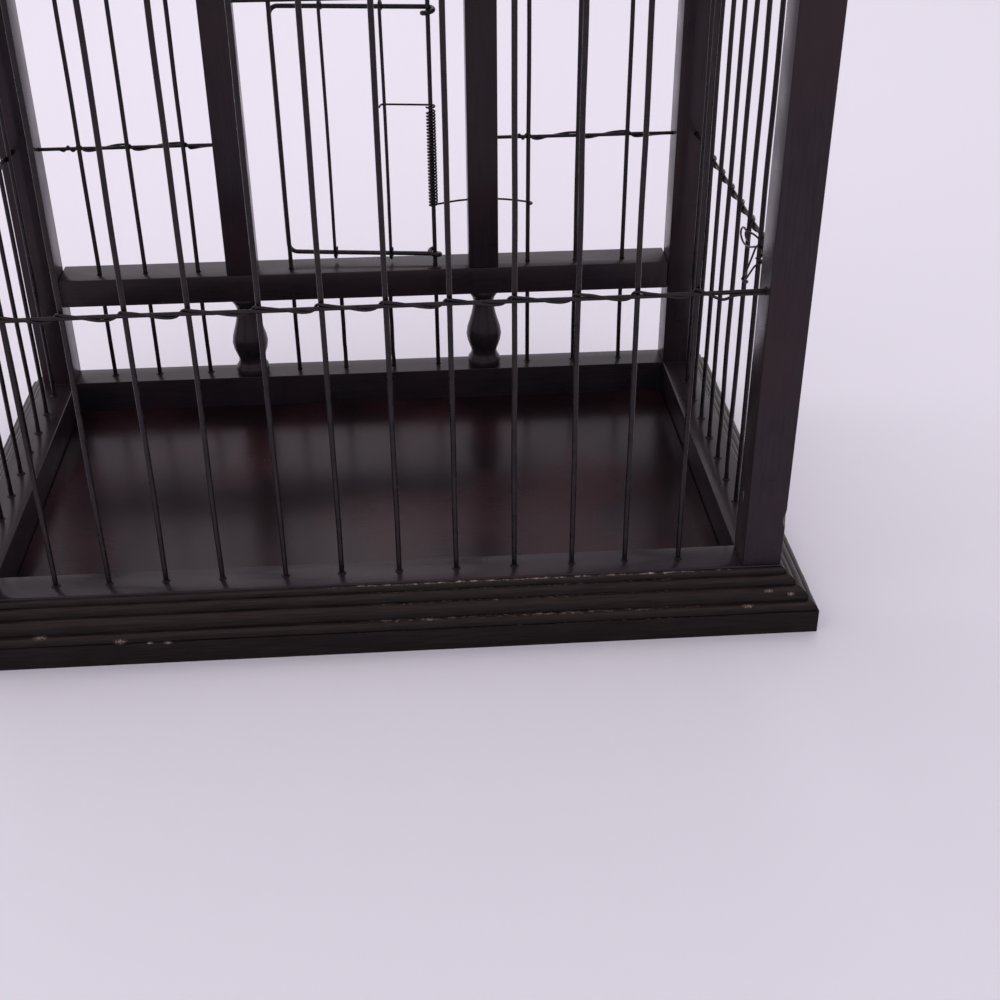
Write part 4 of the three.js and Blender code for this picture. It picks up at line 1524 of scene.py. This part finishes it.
@dataclass
class SprungDoor:
    """The wire door: a bent frame with rolled eyes, two hooked bars, and its coil spring.

    The frame, the bars and the arm are drawn with the door shut, in places from the hinge, and
    then turned to where the door stands.
    """

    finishes: Finishes
    ajar_deg: float = 7.0
    frame_wire_mm: float = 0.8
    bar_wire_mm: float = 0.6
    spring_wire_mm: float = 0.35
    hinge_wire_mm: float = 0.75
    clearance_mm: float = 0.3
    corner_mm: float = 3.2
    eye_rise_mm: float = 2.1
    eye_end_mm: float = 4.0
    hook_tail_mm: float = 1.4
    bar_bow_mm: float = 0.3
    spring_gap_mm: float = 0.42
    spring_curls: int = 30
    leg_bend_mm: float = 1.5
    arm_tip_mm: float = 2.2
    hinge: Vector = field(init=False)
    bottom: float = field(init=False)
    top: float = field(init=False)
    plane: float = field(init=False)
    free_edge: float = field(init=False)

    def __post_init__(self) -> None:
        """Reads the hinge and the door's size from the solids."""
        joint = next(joint for joint in frame["joints"] if joint["name"] == "door_hinge")
        self.hinge = Vector(joint["pos_m"])
        low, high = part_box("door_frame")
        turn = math.radians(self.ajar_deg)
        radius = self.frame_wire_mm * MM
        self.bottom = low.z + radius
        self.top = high.z - radius
        self.plane = (self.hinge_wire_mm + self.clearance_mm + self.frame_wire_mm) * MM
        reach = self.hinge.x - low.x - radius
        self.free_edge = -(reach + self.plane * math.sin(turn)) / math.cos(turn)

    def stand_ajar(self, points: Sequence[Vector]) -> list[Vector]:
        """Turns points of the shut door, drawn about the hinge, to where the door stands."""
        turn = Matrix.Rotation(-math.radians(self.ajar_deg), 3, "Z")
        base = Vector((self.hinge.x, self.hinge.y, 0))
        return [turn @ point + base for point in points]

    @staticmethod
    def turn_about(
        height: float, radius: float, start: float, end: float, climb: float, steps: int
    ) -> list[Vector]:
        """Works out points on an upright helix about the hinge.

        Args:
            height: The height of the first point, in metres.
            radius: The helix's radius.
            start: The first point's angle in degrees.
            end: The last point's angle in degrees.
            climb: How far the last point lies above the first one.
            steps: The number of steps between them.

        Returns:
            Points along the helix.
        """
        points = []
        for step in range(steps + 1):
            share = step / steps
            angle = math.radians(start + (end - start) * share)
            across, out = radius * math.cos(angle), radius * math.sin(angle)
            points.append(Vector((across, out, height + climb * share)))
        return points

    def frame_path(self) -> list[Vector]:
        """Returns the bent frame wire's path, from one rolled eye to the other."""
        rise, corner, eye_end = self.eye_rise_mm * MM, self.corner_mm * MM, -self.eye_end_mm * MM
        points = self.turn_about(self.bottom + rise, self.plane, -250, 90, -rise, 20)
        points.append(Vector((eye_end, self.plane, self.bottom)))
        for middle, start in ((self.bottom + corner, -90), (self.top - corner, -180)):
            for step in range(7):
                angle = math.radians(start - 15 * step)
                across = self.free_edge + corner + corner * math.cos(angle)
                points.append(Vector((across, self.plane, middle + corner * math.sin(angle))))
        points.append(Vector((eye_end, self.plane, self.top)))
        return points + self.turn_about(self.top, self.plane, 90, -250, -rise, 20)

    def bar_path(self, place: float) -> list[Vector]:
        """Returns a bar's path, hooked round the frame below and above."""
        hook = (self.frame_wire_mm + self.clearance_mm + self.bar_wire_mm) * MM
        tail = self.hook_tail_mm * MM
        points = [Vector((place, self.plane + hook, self.bottom + tail))]
        for height, side, steps in ((self.bottom, -1, range(9)), (self.top, 1, range(8, -1, -1))):
            for step in steps:
                angle = math.pi * step / 8
                out, up = hook * math.cos(angle), side * hook * math.sin(angle)
                points.append(Vector((place, self.plane + out, height + up)))
            if side < 0:
                middle = (self.bottom + self.top) / 2
                points.append(Vector((place + self.bar_bow_mm * MM, self.plane - hook, middle)))
        points.append(Vector((place, self.plane + hook, self.top - tail)))
        return points

    def build(self) -> None:
        """Builds and dresses the door and its spring."""
        iron = self.finishes.wire.material()
        bent = self.stand_ajar(self.frame_path())
        piece = wire_piece("bent_door_frame", [bent], self.frame_wire_mm * MM)
        finish_piece(piece, DOOR, (iron,), ("door_frame",))
        shut = Matrix.Rotation(math.radians(self.ajar_deg), 3, "Z")
        places = []
        for node in ("door_bar_free_side", "door_bar_hinge_side"):
            low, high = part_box(node)
            place = (shut @ ((low + high) / 2 - self.hinge)).x
            places.append(place)
            bar = self.stand_ajar(self.bar_path(place))
            piece = wire_piece(f"hooked_{node}", [bar], self.bar_wire_mm * MM)
            finish_piece(piece, DOOR, (iron,), (node,))
        self.build_spring(iron, places[1])

    def build_spring(self, iron: bpy.types.Material, bar_place: float) -> None:
        """Builds the coil with its fixed leg, and the arm that turns with the door.

        Args:
            iron: The wire's material.
            bar_place: The place of the bar that the arm bears on.
        """
        wire, gap = self.spring_wire_mm * MM, self.spring_gap_mm * MM
        loop = (self.hinge_wire_mm + self.clearance_mm) * MM + wire
        pitch = 2 * wire + gap
        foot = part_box("door_spring")[0].z + wire
        stile_low, stile_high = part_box("door_stile_right")
        outside = stile_high.y - self.hinge.y + self.clearance_mm * MM + wire
        (anchor, *_) = rods_of("bay_grille_right", Z)
        base = Vector((self.hinge.x, self.hinge.y, 0))
        aside = Vector((anchor.start.x - self.hinge.x, 0, 0))
        hook = [point + aside for point in self.turn_about(foot, loop, -120, 60, 0, 12)]
        bend = self.leg_bend_mm * MM
        leg = [
            Vector((stile_high.x - self.hinge.x + bend, outside, foot)),
            Vector((stile_low.x - self.hinge.x - bend, outside, foot)),
        ]
        curls = self.spring_curls
        coil = self.turn_about(foot, loop, 65, 65 + 360 * curls, pitch * curls, 14 * curls)
        path = [point + base for point in (*hook, *leg, *coil)]
        piece = wire_piece("wound_door_spring", [path], wire)
        finish_piece(piece, CAGE, (iron,), ("door_spring",))
        height = foot + pitch * (curls + 1.5)
        bar_line = self.plane - (self.frame_wire_mm + self.clearance_mm + self.bar_wire_mm) * MM
        reach = (self.bar_wire_mm + self.clearance_mm) * MM + wire
        arm = self.turn_about(height - gap, loop, -170, 70, gap, 14)
        for degrees in (90, 112, 135, 157, 175):
            angle = math.radians(degrees)
            across, out = reach * math.cos(angle), reach * math.sin(angle)
            arm.append(Vector((bar_place + across, bar_line + out, height)))
        arm.append(Vector((bar_place - reach, bar_line - self.arm_tip_mm * MM, height)))
        piece = wire_piece("bent_door_spring_arm", [self.stand_ajar(arm)], wire)
        finish_piece(piece, DOOR, (iron,), ("door_spring_arm",))


@dataclass
class RoofHanger:
    """The screw eye on the roof bar and the ring that hangs in it."""

    finishes: Finishes
    eye_wire_mm: float = 0.9
    ring_wire_mm: float = 1.2
    neck_mm: float = 0.6
    bend_mm: float = 1.0

    def build(self) -> None:
        """Builds and dresses the eye and the ring."""
        iron = self.finishes.wire.material()
        joint = next(joint for joint in frame["joints"] if joint["name"] == "ring_hinge")
        centre = Vector(joint["pos_m"])
        low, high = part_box("hanging_eye")
        wire = self.eye_wire_mm * MM
        loop = high.z - wire - centre.z
        neck = centre.z - loop - wire - self.neck_mm * MM
        bend = self.bend_mm * MM
        path = [
            Vector((0, 0, low.z)),
            Vector((0, 0, neck - bend)),
            Vector((0, 0, neck + 0.3 * bend)),
            Vector((0, 0.1 * loop, centre.z - 1.06 * loop)),
        ]
        for step in range(27):
            angle = math.radians(-65 + 290 * step / 26)
            path.append(Vector((0, loop * math.cos(angle), centre.z + loop * math.sin(angle))))
        eye = wire_piece("bent_hanging_eye", [path], wire)
        finish_piece(eye, CAGE, (iron,), ("hanging_eye",))
        low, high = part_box("hanging_ring")
        tube = self.ring_wire_mm * MM
        radius = (high.x - low.x) / 2 - tube
        lean = math.asin((centre.z - tube - low.z) / (2 * radius))
        turn = Matrix.Rotation(-lean, 3, "X")
        around = []
        for step in range(40):
            angle = 2 * math.pi * step / 40
            flat = Vector((radius * math.sin(angle), radius * (1 - math.cos(angle)), 0))
            around.append(turn @ flat + centre)
        ring = wire_piece("bent_hanging_ring", [around], tube, closed=True)
        finish_piece(ring, RING, (iron,), ("hanging_ring",))


# ------------------------------------------------------------------ studio


@dataclass
class Studio:
    """The pale table, the soft light and the camera at the photograph's angle."""

    table_m: float = 8.0
    table_colour: str = "#f0ecf3"
    sky_colour: str = "#f4f0f9"
    sky_dim: float = 0.79
    sky_bright: float = 0.9
    bright_side: tuple[float, float, float] = (-0.35, 0.9, 0.25)
    lamp_place: tuple[float, float, float] = (-0.4, 0.7, 1.05)
    lamp_aim: tuple[float, float, float] = (0.0, 0.2, 0.0)
    lamp_size: tuple[float, float] = (1.5, 0.9)
    lamp_watts: float = 3.6
    lamp_colour: str = "#fff7fb"
    camera_mm: tuple[float, float, float] = (14.3, -409.8, 250.0)
    yaw_deg: float = -3.96
    pitch_deg: float = -31.5
    roll_deg: float = -0.34
    focal_share: float = 1.4096
    sensor_mm: float = 36.0

    def build_table(self) -> None:
        """Builds the pale table top, which isn't part of the cage."""
        bpy.ops.object.select_all(action="DESELECT")
        bpy.ops.mesh.primitive_plane_add(size=self.table_m, location=(0, 0, 0))
        table = bpy.context.view_layer.objects.active
        table.name = "table_top"
        made = new_material("matt_white_laminate")
        surface = add_node(
            made,
            "ShaderNodeBsdfPrincipled",
            inputs={"Base Color": linear(self.table_colour), "Roughness": 0.55},
        )
        add_node(made, "ShaderNodeOutputMaterial", inputs={"Surface": surface.outputs[0]})
        table.data.materials.append(made)

    def build_light(self) -> None:
        """Sets a soft sky, brighter on the window's side, and one large window-like lamp."""
        world = bpy.data.worlds.new("soft_room")
        world.use_nodes = True
        backdrop = world.node_tree.nodes["Background"]
        backdrop.inputs["Color"].default_value = linear(self.sky_colour)
        way = add_node(world, "ShaderNodeTexCoord").outputs["Generated"]
        towards = add_node(
            world,
            "ShaderNodeVectorMath",
            {"operation": "DOT_PRODUCT"},
            {0: way, 1: Vector(self.bright_side).normalized()},
        ).outputs["Value"]
        strength = add_node(
            world,
            "ShaderNodeMapRange",
            inputs={"Value": towards, 1: -1.0, 2: 1.0, 3: self.sky_dim, 4: self.sky_bright},
        )
        world.node_tree.links.new(strength.outputs[0], backdrop.inputs["Strength"])
        bpy.context.scene.world = world
        lamp = bpy.data.lights.new("window", "AREA")
        lamp.shape = "RECTANGLE"
        lamp.size, lamp.size_y = self.lamp_size
        lamp.energy = self.lamp_watts
        lamp.color = linear(self.lamp_colour)[:3]
        window = bpy.data.objects.new("window", lamp)
        bpy.context.scene.collection.objects.link(window)
        window.location = self.lamp_place
        aim = Vector(self.lamp_aim) - window.location
        window.rotation_euler = aim.to_track_quat("-Z", "Y").to_euler()

    def build_camera(self) -> None:
        """Places the camera where the photograph was taken from."""
        lens = bpy.data.cameras.new("camera")
        lens.sensor_width = self.sensor_mm
        lens.lens = self.focal_share * self.sensor_mm
        camera = bpy.data.objects.new("camera", lens)
        bpy.context.scene.collection.objects.link(camera)
        yaw = Matrix.Rotation(math.radians(self.yaw_deg), 4, "Z")
        tilt = Matrix.Rotation(math.radians(90 + self.pitch_deg), 4, "X")
        roll = Matrix.Rotation(math.radians(self.roll_deg), 4, "Z")
        camera.matrix_world = Matrix.Translation(Vector(self.camera_mm) * MM) @ yaw @ tilt @ roll
        bpy.context.scene.camera = camera

    def build(self) -> None:
        """Builds the table, the light and the camera."""
        self.build_table()
        self.build_light()
        self.build_camera()
        bpy.context.scene.view_settings.view_transform = "Standard"


def main() -> None:
    """Builds the whole cage in its studio."""
    logging.basicConfig(level=logging.INFO, format="%(name)s %(message)s")
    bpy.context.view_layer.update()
    finishes = Finishes()
    Studio().build()
    TimberFrame(finishes).build()
    BaseMoulding(finishes).build()
    TurnedSpindles(finishes).build()
    FloorBoard(finishes).build()
    WireWalls(finishes).build()
    Bindings(finishes).build()
    LooseTie(finishes).build()
    DarkCollars(finishes).build()
    SprungDoor(finishes).build()
    RoofHanger(finishes).build()


if __name__ == "__main__":
    main()
